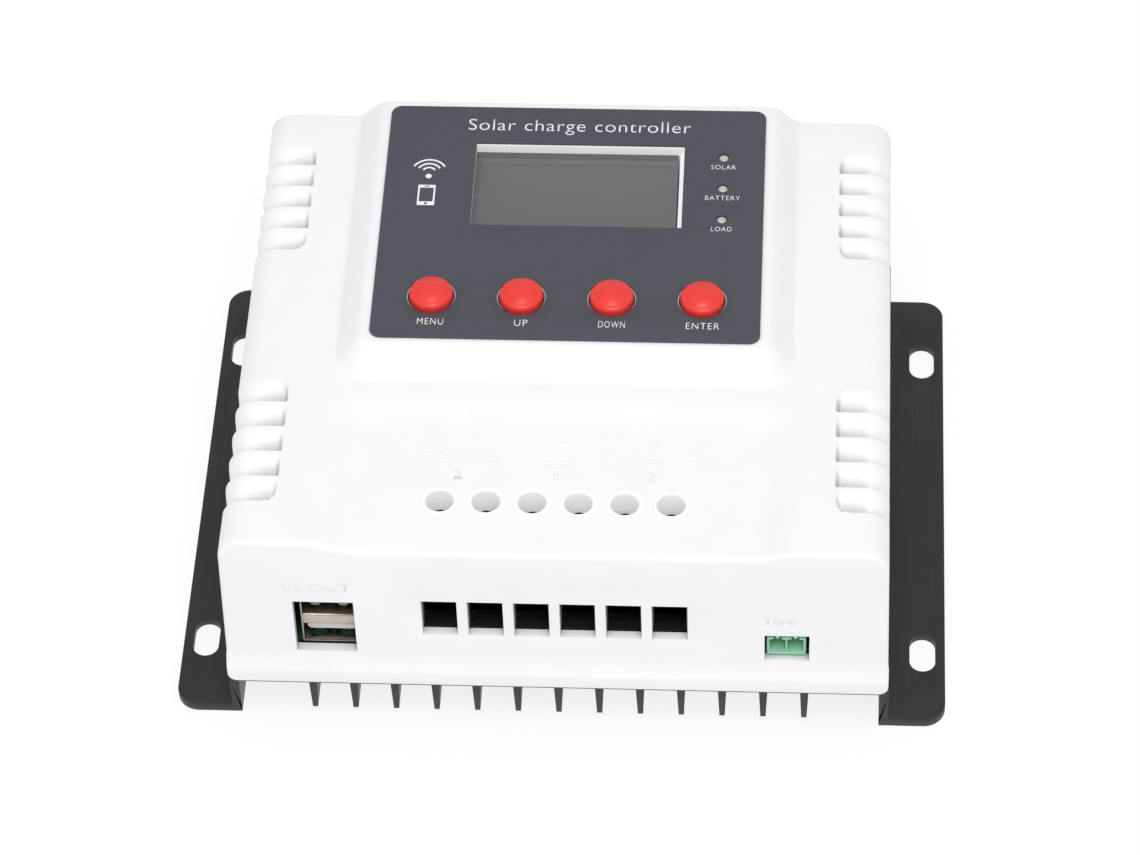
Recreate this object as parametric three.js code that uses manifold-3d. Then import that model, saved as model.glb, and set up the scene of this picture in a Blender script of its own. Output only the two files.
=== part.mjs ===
// A wall-mounted solar charge controller, in millimetres.
// X runs across the front, Y from the wiring side (-Y) to the display side (+Y), and Z up from the
// mounting surface. The origin is under the middle of the controller, on the mounting surface.
import * as THREE from "three";
import { mergeVertices } from "three/addons/utils/BufferGeometryUtils.js";
import Module from "manifold-3d";

const wasm = await Module();
wasm.setup();

// ---------------------------------------------------------------- driving dimensions

// Clearances
const FIT_GAP = 0.3; // round a piece that sits in another piece's opening
const SEAT_GAP = 0.1; // under a piece that stands on another one

// Heat sink: one extrusion with a plate, fins, two legs and two mounting wings
const SINK_END_SETBACK = 2; // the extrusion is this much shorter than the cover at each end
const WING_THICKNESS = 2.3;
const WING_SPAN = 12.9;
const WING_CORNER_R = 5;
const LEG_THICKNESS = 2.1;
const LEG_OUTSTAND = 0.3; // the legs stand this far out past the cover's foot
const PLATE_UNDERSIDE_Z = 10.9;
const PLATE_THICKNESS = 4;
const FIN_SCREW_GAP = 1; // least room between an outer fin and a housing screw's head
const FIN_PITCH = 9.21;
const FIN_ROOT = 1.9;
const FIN_TIP = 1.2;
const FIN_TIP_Z = 2.3;
const SLOT_WIDTH = 5.9;
const SLOT_LENGTH = 11;
const SLOT_END_MARGIN = 19.5; // slot centre from the extrusion's end
const SLOT_INSET = 7.8; // slot centre from the leg's outer face

// Cover: the moulded shell
const COVER_WIDTH = 147.8; // across the foot
const COVER_DEPTH = 133;
const SIDE_DRAFT = 0.8;
const COVER_WALL = 2.2;
const SIDE_HEIGHT = 46.4; // foot to shoulder
const SHOULDER_R = 5.5;
const LIP_HEIGHT = 4.1;
const LIP_FLARE = 1.3;
const LIP_SLOPE_HEIGHT = 3;

// Raised display panel on top of the cover
const PANEL_RISE = 5;
const PANEL_LENGTH = 77.8; // front edge to the cover's back face
const PANEL_SIDE_MARGIN = 2.55; // beside the display board
const PANEL_RAMP = 5.5;
const PANEL_FRONT_RAMP = 6.3;

// Recess over the terminals
const RECESS_SETBACK = 4.7; // from the foot of the panel's front ramp
const RECESS_RAMP = 6.7;
const RECESS_BACK_DEPTH = 1.5;
const RECESS_FRONT_DEPTH = 2.5;
const RECESS_SIDE_MARGIN = 9.3; // between the recess and the scoops
const RECESS_SIDE_SLOPE = 2.4; // run for each unit of depth

// Cooling scoops in the shoulders
const SCOOPS_PER_GROUP = 5;
const SCOOP_DEPTH = 2;
const SCOOP_REACH = 12.9; // in from the side of the foot
const SCOOP_FOOT_DROP = 16; // how far the scoops run down the side
const BACK_SCOOP_PITCH = 6.86;
const FRONT_SCOOP_PITCH = 7.33;
const BACK_SCOOP_MARGIN = 44.5; // foremost ridge from the back face
const FRONT_SCOOP_MARGIN = 12.3; // foremost ridge from the front face

// Display
const LABEL_SIDE_MARGIN = 2.25;
const LABEL_BACK_MARGIN = 2.4;
const LABEL_CORNER_R = 2.5;
const LABEL_THICKNESS = 0.4;
const LABEL_FRONT_MARGIN = 1.7; // from the panel's front edge
const SCREEN_WIDTH = 48.7;
const SCREEN_LENGTH = 26.4;
const SCREEN_X = 0.8;
const SCREEN_BACK_MARGIN = 27.5; // screen's middle from the back face
const SCREEN_DROP = 2; // glass below the panel's top
const SCREEN_FRAME_BORDER = 3;
const SCREEN_SIDE_EDGE = 1.1; // white edge that shows beside the glass
const LED_SIDE_MARGIN = 9.5; // from the label's side
const LED_BACK_MARGIN = 17.8; // first indicator from the back face
const LED_PITCH = 9.95;
const LED_NAMES = ["solar", "battery", "load"];
const LED_R = 1.15;
const BUTTON_NAMES = ["menu", "up", "down", "enter"];
const BUTTON_PITCH = 20.4;
const BUTTON_SETBACK = 14.7; // from the panel's front edge
const BUTTON_R = 5;
const BUTTON_EDGE_RISE = 0.7; // where the dome starts, above the label
const BUTTON_DOME = 2;
const BUTTON_SKIRT = 4;
const PLUNGER_R = 1.8;
const SWITCH_SIZE = 12;
const SWITCH_HEIGHT = 3.5;
const DISPLAY_BOARD_FRONT_MARGIN = 6.3; // from the panel's front edge
const DISPLAY_BOARD_BACK_MARGIN = 4.5; // from the cover's back face
const DISPLAY_BOARD_DROP = 8.3; // board top below the panel's top
const BOARD_THICKNESS = 1.6;
const STAKE_R = 1.4; // heat-staked posts that hold the display board
const STAKE_SHOULDER_R = 2.5;
const STAKE_SWITCH_GAP = 0.9; // between an outer switch and the stake's shoulder
const STAKE_INSET = 3.5; // stake centre from the board's side

// Main board
const BOARD_BOSS_GAP = 1.5; // between the board and the housing screws' bosses
const MAIN_BOARD_BACK_MARGIN = 18; // from the cover's back face
const MAIN_BOARD_FRONT_MARGIN = 3; // from the cover's front face
const SPACER_HEIGHT = 8.7; // heat sink plate to board
const SPACER_R = 3;
const BOARD_FIXING_INSET = 4.5; // from the board's sides
const FRONT_FIXING_SETBACK = 27.5; // from the board's front edge
const BACK_FIXING_SETBACK = 6.5; // from the board's back edge
const BOARD_SCREW_SHANK_R = 1.2;
const BOARD_SCREW_HEAD_R = 2.7;
const BOARD_SCREW_LENGTH = 7;

// Terminals
const POLES = 6;
const POLE_PITCH = 10.16;
const TERMINAL_SETBACK = 12.8; // screws from the block's front face
const TERMINAL_BLOCK_DEPTH = 22;
const TERMINAL_BLOCK_CAP = 4.4; // block top above the chambers
const TERMINAL_BLOCK_CLEARANCE = 2.5; // block face from the cover's front face
const CHAMBER_WIDTH = 8;
const CHAMBER_LENGTH = 16;
const CAGE_WIDTH = 7.4;
const CAGE_LENGTH = 11;
const CAGE_SIDE = 1.2;
const CAGE_HEAD = 2.4;
const CAGE_WINDOW = 8.2;
const CAGE_TRAVEL = 3.5;
const CAGE_REST_HEIGHT = 5; // cage underside above the board when open
const CONTACT_THICKNESS = 1.2;
const CONTACT_WIDTH = 4.6;
const TERMINAL_SCREW_R = 1.9;
const TERMINAL_HEAD_R = 2.7;
const TERMINAL_HEAD_HEIGHT = 2.4;
const SCREW_SLOT_WIDTH = 0.8;
const SCREW_SLOT_DEPTH = 1.2;
const WIRE_WINDOW_WIDTH = 7.8;
const WIRE_WINDOW_SILL = 0.1; // below the cage's own window
const WIRE_WINDOW_HEADROOM = 3.1; // above the cage's own window
const ACCESS_HOLE_R = 3.2;
const ACCESS_TUBE_WALL = 1;
const ACCESS_RIM = 0.8;

// Charging port: a stacked pair in one metal shell
const PORT_INSET = 23.9; // from the side of the foot
const PORT_WIDTH = 13.1;
const PORT_HEIGHT = 15.6;
const PORT_DEPTH = 17.5;
const PORT_SHEET = 0.4;
const PORT_MOUTH = 4.8;
const PORT_FLANGE_BACK = 2.4; // mouth behind the cover's front face
const TONGUE_THICKNESS = 1.8;
const TONGUE_WIDTH = 11;

// Sensor header
const HEADER_INSET = 22.8; // from the side of the foot
const HEADER_WIDTH = 8.7;
const HEADER_HEIGHT = 8;
const HEADER_DEPTH = 9.2;
const HEADER_WALL = 0.8;
const HEADER_FLANGE_BACK = 1.5;
const HEADER_PIN_PITCH = 3.96;
const HEADER_PIN = 1;

// Housing screws, driven from below between the outer fins and the legs
const HOUSING_SCREW_INSET_X = 9.5; // from the side of the foot
const HOUSING_SCREW_INSET_Y = 14.5; // from the cover's front and back faces
const HOUSING_SCREW_R = 1.5;
const HOUSING_SCREW_HEAD_R = 3.2;
const HOUSING_SCREW_HEAD = 2.2;
const HOUSING_SCREW_LENGTH = 14;
const BOSS_R = 3.4;
const BOSS_BORE_DEPTH = 16;

// Power parts
const INDUCTOR_R = 13;
const INDUCTOR_HEIGHT = 18;
const INDUCTOR_X = 22;
const INDUCTOR_SETBACK = 30; // from the terminal block
const CAPACITOR_R = 6.3;
const CAPACITOR_HEIGHT = 20;
const CAPACITOR_X = [-34, -18];
const CAPACITOR_SETBACK = 26; // from the terminal block
const TRANSISTOR_WIDTH = 10.2;
const TRANSISTOR_LENGTH = 15;
const TRANSISTOR_THICKNESS = 4.5;
const TRANSISTOR_X = [-26, 26];
const TRANSISTOR_Y = 20;
const PAD_THICKNESS = 0.6;
const PAD_MARGIN = 3;
const RADIO_SIZE = [18, 25, 3.2];
const RADIO_X = 30;
const RADIO_INSET = 10.5; // radio's middle from the board's back edge
const RIBBON_WIDTH = 22;
const RIBBON_THICKNESS = 1.2;
const RIBBON_X = -12;
const RIBBON_Y = 30;
const RIBBON_BOW = 5;

// ---------------------------------------------------------------- sizes worked out from them

const BACK_Y = COVER_DEPTH / 2;
const FRONT_Y = -BACK_Y;
const FOOT_X = COVER_WIDTH / 2;
const FOOT_Z = PLATE_UNDERSIDE_Z + PLATE_THICKNESS + SEAT_GAP;
const SHOULDER_Z = FOOT_Z + SIDE_HEIGHT;
const PANEL_Z = SHOULDER_Z + PANEL_RISE;
const LABEL_Z = PANEL_Z + LABEL_THICKNESS;
const LEG_X = FOOT_X + LEG_OUTSTAND;
const SINK_BACK_Y = BACK_Y - SINK_END_SETBACK;
const SLOT_X = LEG_X + SLOT_INSET;
const SLOT_Y = SINK_BACK_Y - SLOT_END_MARGIN;
const HOUSING_SCREW_X = FOOT_X - HOUSING_SCREW_INSET_X;
const HOUSING_SCREW_Y = BACK_Y - HOUSING_SCREW_INSET_Y;
const FIN_FIELD = HOUSING_SCREW_X - HOUSING_SCREW_HEAD_R - FIN_SCREW_GAP - FIN_ROOT / 2;
const FIN_COUNT = Math.floor((2 * FIN_FIELD) / FIN_PITCH) + 1;
const SCOOP_INNER_X = FOOT_X - SCOOP_REACH;
const BACK_SCOOP_START = BACK_Y - BACK_SCOOP_MARGIN;
const FRONT_SCOOP_START = FRONT_Y + FRONT_SCOOP_MARGIN;
const PANEL_FRONT_Y = BACK_Y - PANEL_LENGTH;
const RECESS_BACK_Y = PANEL_FRONT_Y - PANEL_FRONT_RAMP - RECESS_SETBACK;
const RECESS_WIDTH = 2 * (SCOOP_INNER_X - RECESS_SIDE_MARGIN);
const CEILING_Z = SHOULDER_Z - COVER_WALL;
const STAKE_X =
  ((BUTTON_NAMES.length - 1) * BUTTON_PITCH + SWITCH_SIZE) / 2 + STAKE_SWITCH_GAP + STAKE_SHOULDER_R;
const DISPLAY_BOARD_WIDTH = 2 * (STAKE_X + STAKE_INSET);
const DISPLAY_BOARD_FRONT_Y = PANEL_FRONT_Y + DISPLAY_BOARD_FRONT_MARGIN;
const DISPLAY_BOARD_LENGTH = BACK_Y - DISPLAY_BOARD_BACK_MARGIN - DISPLAY_BOARD_FRONT_Y;
const PANEL_WIDTH = DISPLAY_BOARD_WIDTH + 2 * PANEL_SIDE_MARGIN;
const LABEL_WIDTH = PANEL_WIDTH - 2 * LABEL_SIDE_MARGIN;
const LABEL_LENGTH = PANEL_LENGTH - LABEL_FRONT_MARGIN - LABEL_BACK_MARGIN;
const SCREEN_Y = BACK_Y - SCREEN_BACK_MARGIN;
const GLASS_WIDTH = SCREEN_WIDTH - 2 * FIT_GAP - SCREEN_SIDE_EDGE;
const GLASS_X = SCREEN_X - SCREEN_SIDE_EDGE / 2;
const LED_X = LABEL_WIDTH / 2 - LED_SIDE_MARGIN;
const LED_Y = LED_NAMES.map((_, i) => BACK_Y - LED_BACK_MARGIN - i * LED_PITCH);
const BUTTON_Y = PANEL_FRONT_Y + BUTTON_SETBACK;
const PANEL_CEILING_Z = PANEL_Z - COVER_WALL;
const MAIN_BOARD_Z = PLATE_UNDERSIDE_Z + PLATE_THICKNESS + SPACER_HEIGHT;
const MAIN_BOARD_TOP = MAIN_BOARD_Z + BOARD_THICKNESS;
const MAIN_BOARD_WIDTH = 2 * (HOUSING_SCREW_X - BOSS_R - BOARD_BOSS_GAP);
const MAIN_BOARD_FRONT_Y = FRONT_Y + MAIN_BOARD_FRONT_MARGIN;
const MAIN_BOARD_BACK_Y = BACK_Y - MAIN_BOARD_BACK_MARGIN;
const MAIN_BOARD_LENGTH = MAIN_BOARD_BACK_Y - MAIN_BOARD_FRONT_Y;
const BOARD_FIXING_X = MAIN_BOARD_WIDTH / 2 - BOARD_FIXING_INSET;
const BOARD_FIXING_Y = [
  MAIN_BOARD_FRONT_Y + FRONT_FIXING_SETBACK,
  MAIN_BOARD_BACK_Y - BACK_FIXING_SETBACK,
];
const DISPLAY_BOARD_TOP = PANEL_Z - DISPLAY_BOARD_DROP;
const DISPLAY_BOARD_Z = DISPLAY_BOARD_TOP - BOARD_THICKNESS;
const PART_BASE_Z = MAIN_BOARD_TOP + SEAT_GAP;
const BLOCK_FRONT_Y = FRONT_Y + TERMINAL_BLOCK_CLEARANCE;
const BLOCK_BACK_Y = BLOCK_FRONT_Y + TERMINAL_BLOCK_DEPTH;
const TERMINAL_Y = BLOCK_FRONT_Y + TERMINAL_SETBACK;
const CAGE_Z = PART_BASE_Z + CAGE_REST_HEIGHT;
const CAGE_TOP_Z = CAGE_Z + CAGE_SIDE + CAGE_WINDOW + CAGE_HEAD;
const CHAMBER_TOP_Z = CAGE_TOP_Z + CAGE_TRAVEL + SEAT_GAP;
const BLOCK_TOP_Z = CHAMBER_TOP_Z + TERMINAL_BLOCK_CAP;
const WIRE_WINDOW_LOW_Z = CAGE_Z + CAGE_SIDE - WIRE_WINDOW_SILL;
const WIRE_WINDOW_HIGH_Z = CAGE_Z + CAGE_SIDE + CAGE_WINDOW + WIRE_WINDOW_HEADROOM;
const PORT_X = PORT_INSET - FOOT_X;
const HEADER_X = FOOT_X - HEADER_INSET;
const INDUCTOR_Y = BLOCK_BACK_Y + INDUCTOR_SETBACK;
const CAPACITOR_Y = BLOCK_BACK_Y + CAPACITOR_SETBACK;
const RADIO_Y = MAIN_BOARD_BACK_Y - RADIO_INSET;
const CONTACT_TOP_Z = CAGE_Z + CAGE_SIDE + CAGE_WINDOW - FIT_GAP;
const HEAD_SEAT_Z = CHAMBER_TOP_Z + 1.2;
const poleX = (i) => (i - (POLES - 1) / 2) * POLE_PITCH;
const buttonX = (i) => (i - (BUTTON_NAMES.length - 1) / 2) * BUTTON_PITCH;

// ---------------------------------------------------------------- geometry helpers

const ROUND_SIDES = 16;
const SMALL_SIDES = 10;
const ARC_STEPS = 4;

/** Turns a closed three.js geometry into a solid with its faces pointing out. */
function solid(geometry) {
  const loose = geometry.index ? geometry.toNonIndexed() : geometry.clone();
  loose.deleteAttribute("normal");
  loose.deleteAttribute("uv");
  const merged = mergeVertices(loose, 1e-4);
  const corners = [...merged.index.array];
  const triangles = [];
  for (let i = 0; i < corners.length; i += 3) {
    const [a, b, c] = corners.slice(i, i + 3);
    if (a !== b && b !== c && c !== a) triangles.push([a, b, c]);
  }
  const build = (list) =>
    new wasm.Manifold(
      new wasm.Mesh({
        numProp: 3,
        vertProperties: merged.attributes.position.array,
        triVerts: new Uint32Array(list.flat()),
      }),
    );
  const made = build(triangles);
  return made.volume() < 0 ? build(triangles.map(([a, b, c]) => [a, c, b])) : made;
}

/** A box between two corners. */
function box(x0, x1, y0, y1, z0, z1) {
  const geometry = new THREE.BoxGeometry(x1 - x0, y1 - y0, z1 - z0);
  return solid(geometry.translate((x0 + x1) / 2, (y0 + y1) / 2, (z0 + z1) / 2));
}

/** A box centred on x and y. */
function block(x, y, width, length, z0, z1) {
  return box(x - width / 2, x + width / 2, y - length / 2, y + length / 2, z0, z1);
}

/** An upright cone with its foot's and top's radius. */
function cone(x, y, footR, topR, z0, z1, sides = ROUND_SIDES) {
  const geometry = new THREE.CylinderGeometry(topR, footR, z1 - z0, sides);
  return solid(geometry.rotateX(Math.PI / 2).translate(x, y, (z0 + z1) / 2));
}

/** An upright cylinder. */
const cylinder = (x, y, r, z0, z1, sides = ROUND_SIDES) => cone(x, y, r, r, z0, z1, sides);

/** A body turned about an upright axis, from [radius, z] points. */
function turned(x, y, points, sides = ROUND_SIDES) {
  const profile = points.map(([r, z]) => new THREE.Vector2(r, z));
  return solid(new THREE.LatheGeometry(profile, sides).rotateX(Math.PI / 2).translate(x, y, 0));
}

/** An outline in X and Y, raised from z0 to z1. */
function raised(outline, z0, z1, curveSegments = ARC_STEPS) {
  const options = { depth: z1 - z0, bevelEnabled: false, curveSegments };
  return solid(new THREE.ExtrudeGeometry(outline, options).translate(0, 0, z0));
}

/** An outline in X and Z, drawn out along Y. */
function drawnAlongY(outline, y0, y1, curveSegments = ARC_STEPS) {
  const options = { depth: y1 - y0, bevelEnabled: false, curveSegments };
  return solid(new THREE.ExtrudeGeometry(outline, options).rotateX(Math.PI / 2).translate(0, y1, 0));
}

/** An outline in Y and Z, drawn out along X. */
function drawnAlongX(points, x0, x1) {
  const outline = new THREE.Shape(points.map(([y, z]) => new THREE.Vector2(y, z)));
  const geometry = new THREE.ExtrudeGeometry(outline, { depth: x1 - x0, bevelEnabled: false });
  return solid(geometry.rotateX(Math.PI / 2).rotateZ(Math.PI / 2).translate(x0, 0, 0));
}

/** A rectangle with round corners. */
function roundedRectangle(x, y, width, length, r) {
  const shape = new THREE.Shape();
  const left = x - width / 2;
  const right = x + width / 2;
  const front = y - length / 2;
  const back = y + length / 2;
  shape.moveTo(left + r, front);
  shape.lineTo(right - r, front);
  shape.absarc(right - r, front + r, r, -Math.PI / 2, 0);
  shape.lineTo(right, back - r);
  shape.absarc(right - r, back - r, r, 0, Math.PI / 2);
  shape.lineTo(left + r, back);
  shape.absarc(left + r, back - r, r, Math.PI / 2, Math.PI);
  shape.lineTo(left, front + r);
  shape.absarc(left + r, front + r, r, Math.PI, 1.5 * Math.PI);
  return shape;
}

/** A six-sided body from a lower and an upper four-cornered face, both anticlockwise from above. */
function sixSided(lower, upper) {
  const points = [...lower, ...upper];
  const triangles = [[0, 2, 1], [0, 3, 2], [4, 5, 6], [4, 6, 7]];
  for (let i = 0; i < 4; i++) {
    const next = (i + 1) % 4;
    triangles.push([i, next, next + 4], [i, next + 4, i + 4]);
  }
  const positions = triangles.flat().flatMap((corner) => points[corner]);
  const geometry = new THREE.BufferGeometry();
  geometry.setAttribute("position", new THREE.Float32BufferAttribute(positions, 3));
  return solid(geometry);
}

const joined = (solids) => solids.reduce((whole, piece) => whole.add(piece));
const without = (body, cutters) => cutters.reduce((rest, cutter) => rest.subtract(cutter), body);

// ---------------------------------------------------------------- finishes

const finish = (color, roughness, metalness = 0) =>
  new THREE.MeshStandardMaterial({ color, roughness, metalness });

const FINISHES = {
  whitePlastic: finish(0xf4f4f3, 0.45),
  blackAnodised: finish(0x2f2f32, 0.5, 0.6),
  slateFilm: finish(0x55565f, 0.4),
  redPlastic: finish(0xe8423a, 0.3),
  screenGlass: finish(0x6f6c72, 0.15),
  ledLens: finish(0xa0a5a2, 0.3),
  greenBoard: finish(0x1f6b45, 0.5),
  blackPlastic: finish(0x17171a, 0.35),
  nickel: finish(0xb4aa9a, 0.3, 0.9),
  steel: finish(0xb9bbc0, 0.35, 0.9),
  greenPlastic: finish(0x6fbf95, 0.4),
  ferrite: finish(0x3a3a3c, 0.7),
  copper: finish(0xb8703f, 0.35, 0.8),
  greyPad: finish(0x9aa0a6, 0.8),
  greyRibbon: finish(0xb9bcc2, 0.6),
};

const controller = new THREE.Group();
controller.name = "charge_controller";

/** Adds one named piece to the controller. */
function addPiece(name, body, material) {
  const { vertProperties, triVerts } = body.getMesh();
  const geometry = new THREE.BufferGeometry();
  geometry.setAttribute("position", new THREE.BufferAttribute(vertProperties, 3));
  geometry.setIndex(new THREE.BufferAttribute(triVerts, 1));
  geometry.computeVertexNormals();
  const mesh = new THREE.Mesh(geometry, material);
  mesh.name = name;
  controller.add(mesh);
}

// ---------------------------------------------------------------- heat sink

/** The extrusion's section in X and Z. */
function heatSinkSection() {
  const plateTop = PLATE_UNDERSIDE_Z + PLATE_THICKNESS;
  const wingX = LEG_X + WING_SPAN;
  const section = new THREE.Shape();
  section.moveTo(wingX, 0);
  section.lineTo(wingX, WING_THICKNESS);
  section.lineTo(LEG_X, WING_THICKNESS);
  section.lineTo(LEG_X, plateTop);
  section.lineTo(-LEG_X, plateTop);
  section.lineTo(-LEG_X, WING_THICKNESS);
  section.lineTo(-wingX, WING_THICKNESS);
  section.lineTo(-wingX, 0);
  section.lineTo(-LEG_X + LEG_THICKNESS, 0);
  section.lineTo(-LEG_X + LEG_THICKNESS, PLATE_UNDERSIDE_Z);
  for (let i = 0; i < FIN_COUNT; i++) {
    const x = (i - (FIN_COUNT - 1) / 2) * FIN_PITCH;
    section.lineTo(x - FIN_ROOT / 2, PLATE_UNDERSIDE_Z);
    section.lineTo(x - FIN_TIP / 2, FIN_TIP_Z);
    section.lineTo(x + FIN_TIP / 2, FIN_TIP_Z);
    section.lineTo(x + FIN_ROOT / 2, PLATE_UNDERSIDE_Z);
  }
  section.lineTo(LEG_X - LEG_THICKNESS, PLATE_UNDERSIDE_Z);
  section.lineTo(LEG_X - LEG_THICKNESS, 0);
  return section;
}

function heatSink() {
  const plateTop = PLATE_UNDERSIDE_Z + PLATE_THICKNESS;
  const extrusion = drawnAlongY(heatSinkSection(), -SINK_BACK_Y, SINK_BACK_Y);
  const wingX = LEG_X + WING_SPAN;
  const outline = roundedRectangle(0, 0, 2 * wingX, 2 * SINK_BACK_Y, WING_CORNER_R);
  const envelope = raised(outline, -1, plateTop + 1);
  const spacers = [];
  const cuts = [];
  for (const side of [-1, 1]) {
    for (const y of [-SLOT_Y, SLOT_Y]) {
      const slot = roundedRectangle(side * SLOT_X, y, SLOT_WIDTH, SLOT_LENGTH, SLOT_WIDTH / 2 - 0.001);
      cuts.push(raised(slot, -1, WING_THICKNESS + 1));
    }
    for (const y of BOARD_FIXING_Y) {
      const x = side * BOARD_FIXING_X;
      spacers.push(cylinder(x, y, SPACER_R, plateTop - 0.5, MAIN_BOARD_Z - SEAT_GAP));
      cuts.push(cylinder(x, y, BOARD_SCREW_SHANK_R + FIT_GAP, plateTop + 1, MAIN_BOARD_Z + 1, SMALL_SIDES));
    }
    for (const y of [-HOUSING_SCREW_Y, HOUSING_SCREW_Y]) {
      const r = HOUSING_SCREW_R + FIT_GAP;
      cuts.push(cylinder(side * HOUSING_SCREW_X, y, r, PLATE_UNDERSIDE_Z - 1, plateTop + 1, SMALL_SIDES));
    }
  }
  return without(joined([extrusion.intersect(envelope), ...spacers]), cuts);
}

// ---------------------------------------------------------------- cover

/** The shell's section in X and Z, drawn in by a wall thickness for the hollow. */
function coverSection(wall, topZ, bottomZ) {
  const footX = FOOT_X - wall;
  const topX = FOOT_X - SIDE_DRAFT - wall;
  const r = Math.max(SHOULDER_R - wall, 1);
  const section = new THREE.Shape();
  section.moveTo(-footX, bottomZ);
  section.lineTo(footX, bottomZ);
  section.lineTo(topX, topZ - r);
  section.absarc(topX - r, topZ - r, r, 0, Math.PI / 2);
  section.lineTo(-topX + r, topZ);
  section.absarc(-topX + r, topZ - r, r, Math.PI / 2, Math.PI);
  return section;
}

/** The raised panel, or the pocket under it when drawn in by a wall. */
function panelBody(wall, topZ) {
  const top = PANEL_WIDTH / 2 - wall;
  const base = top + PANEL_RAMP;
  const drop = PANEL_RISE + wall;
  const low = topZ - drop;
  const front = PANEL_FRONT_Y + wall;
  const baseFront = front - PANEL_FRONT_RAMP;
  const back = BACK_Y - wall;
  return sixSided(
    [[-base, baseFront, low], [base, baseFront, low], [base, back, low], [-base, back, low]],
    [[-top, front, topZ], [top, front, topZ], [top, back, topZ], [-top, back, topZ]],
  );
}

/** What is scooped out of the top over the terminals: shallow at the back, deeper at the front. */
function recessCutter() {
  const wide = RECESS_WIDTH / 2;
  const floorBackY = RECESS_BACK_Y - RECESS_RAMP;
  const past = 3;
  const grade = (RECESS_FRONT_DEPTH - RECESS_BACK_DEPTH) / (floorBackY - FRONT_Y);
  const frontDepth = RECESS_FRONT_DEPTH + grade * past;
  const backX = wide - RECESS_BACK_DEPTH * RECESS_SIDE_SLOPE;
  const frontX = wide - frontDepth * RECESS_SIDE_SLOPE;
  const frontY = FRONT_Y - past;
  const backZ = SHOULDER_Z - RECESS_BACK_DEPTH;
  const frontZ = SHOULDER_Z - frontDepth;
  const over = 1;
  const topX = wide + over * RECESS_SIDE_SLOPE;
  const topBackY = RECESS_BACK_Y + (over * RECESS_RAMP) / RECESS_BACK_DEPTH;
  const topZ = SHOULDER_Z + over;
  return sixSided(
    [
      [-frontX, frontY, frontZ],
      [frontX, frontY, frontZ],
      [backX, floorBackY, backZ],
      [-backX, floorBackY, backZ],
    ],
    [[-topX, frontY, topZ], [topX, frontY, topZ], [topX, topBackY, topZ], [-topX, topBackY, topZ]],
  );
}

/** One scoop: a floor that deepens towards the front, over the shoulder and down the side. */
function scoopCutter(side, frontY, pitch) {
  const outer = FOOT_X + 2;
  const onTop = drawnAlongX(
    [
      [frontY, SHOULDER_Z - SCOOP_DEPTH],
      [frontY + pitch, SHOULDER_Z],
      [frontY + pitch, SHOULDER_Z + 1],
      [frontY, SHOULDER_Z + 1],
    ],
    side > 0 ? SCOOP_INNER_X : -outer,
    side > 0 ? outer : -SCOOP_INNER_X,
  );
  const skin = (FOOT_X - SIDE_DRAFT) * side;
  const wedge = new THREE.Shape();
  wedge.moveTo(skin - side * SCOOP_DEPTH, frontY);
  wedge.lineTo(skin, frontY + pitch);
  wedge.lineTo(side * outer, frontY + pitch);
  wedge.lineTo(side * outer, frontY);
  return onTop.add(raised(wedge, SHOULDER_Z - SCOOP_FOOT_DROP, SHOULDER_Z + 1));
}

const scoopGroups = [
  { start: FRONT_SCOOP_START, pitch: FRONT_SCOOP_PITCH },
  { start: BACK_SCOOP_START, pitch: BACK_SCOOP_PITCH },
];

/** The flared lip round the foot at the front and back. */
function lip(side) {
  const face = side * BACK_Y;
  const out = side * (BACK_Y + LIP_FLARE);
  const root = side * (BACK_Y - COVER_WALL);
  return drawnAlongX(
    [
      [root, FOOT_Z],
      [out, FOOT_Z],
      [out, FOOT_Z + LIP_HEIGHT],
      [face, FOOT_Z + LIP_HEIGHT + LIP_SLOPE_HEIGHT],
      [root, FOOT_Z + LIP_HEIGHT + LIP_SLOPE_HEIGHT],
    ],
    -FOOT_X,
    FOOT_X,
  );
}

/** The space inside the cover. */
function coverHollow() {
  const inside = drawnAlongY(
    coverSection(COVER_WALL, CEILING_Z, FOOT_Z - 1),
    FRONT_Y + COVER_WALL,
    BACK_Y - COVER_WALL,
  );
  const kept = [
    box(
      -RECESS_WIDTH / 2,
      RECESS_WIDTH / 2,
      FRONT_Y,
      RECESS_BACK_Y,
      CEILING_Z - RECESS_FRONT_DEPTH,
      SHOULDER_Z,
    ),
  ];
  for (const { start, pitch } of scoopGroups) {
    for (const side of [-1, 1]) {
      const inner = side * (SCOOP_INNER_X - COVER_WALL);
      const outer = side * (FOOT_X + 1);
      const length = SCOOPS_PER_GROUP * pitch;
      kept.push(
        box(
          Math.min(inner, outer),
          Math.max(inner, outer),
          start - COVER_WALL,
          start + length,
          CEILING_Z - SCOOP_DEPTH,
          SHOULDER_Z,
        ),
        box(
          Math.min(side * (FOOT_X - SIDE_DRAFT - COVER_WALL - SCOOP_DEPTH), outer),
          Math.max(side * (FOOT_X - SIDE_DRAFT - COVER_WALL - SCOOP_DEPTH), outer),
          start - COVER_WALL,
          start + length,
          SHOULDER_Z - SCOOP_FOOT_DROP - COVER_WALL,
          SHOULDER_Z,
        ),
      );
    }
  }
  return without(inside, kept).add(panelBody(COVER_WALL, PANEL_CEILING_Z));
}

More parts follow.
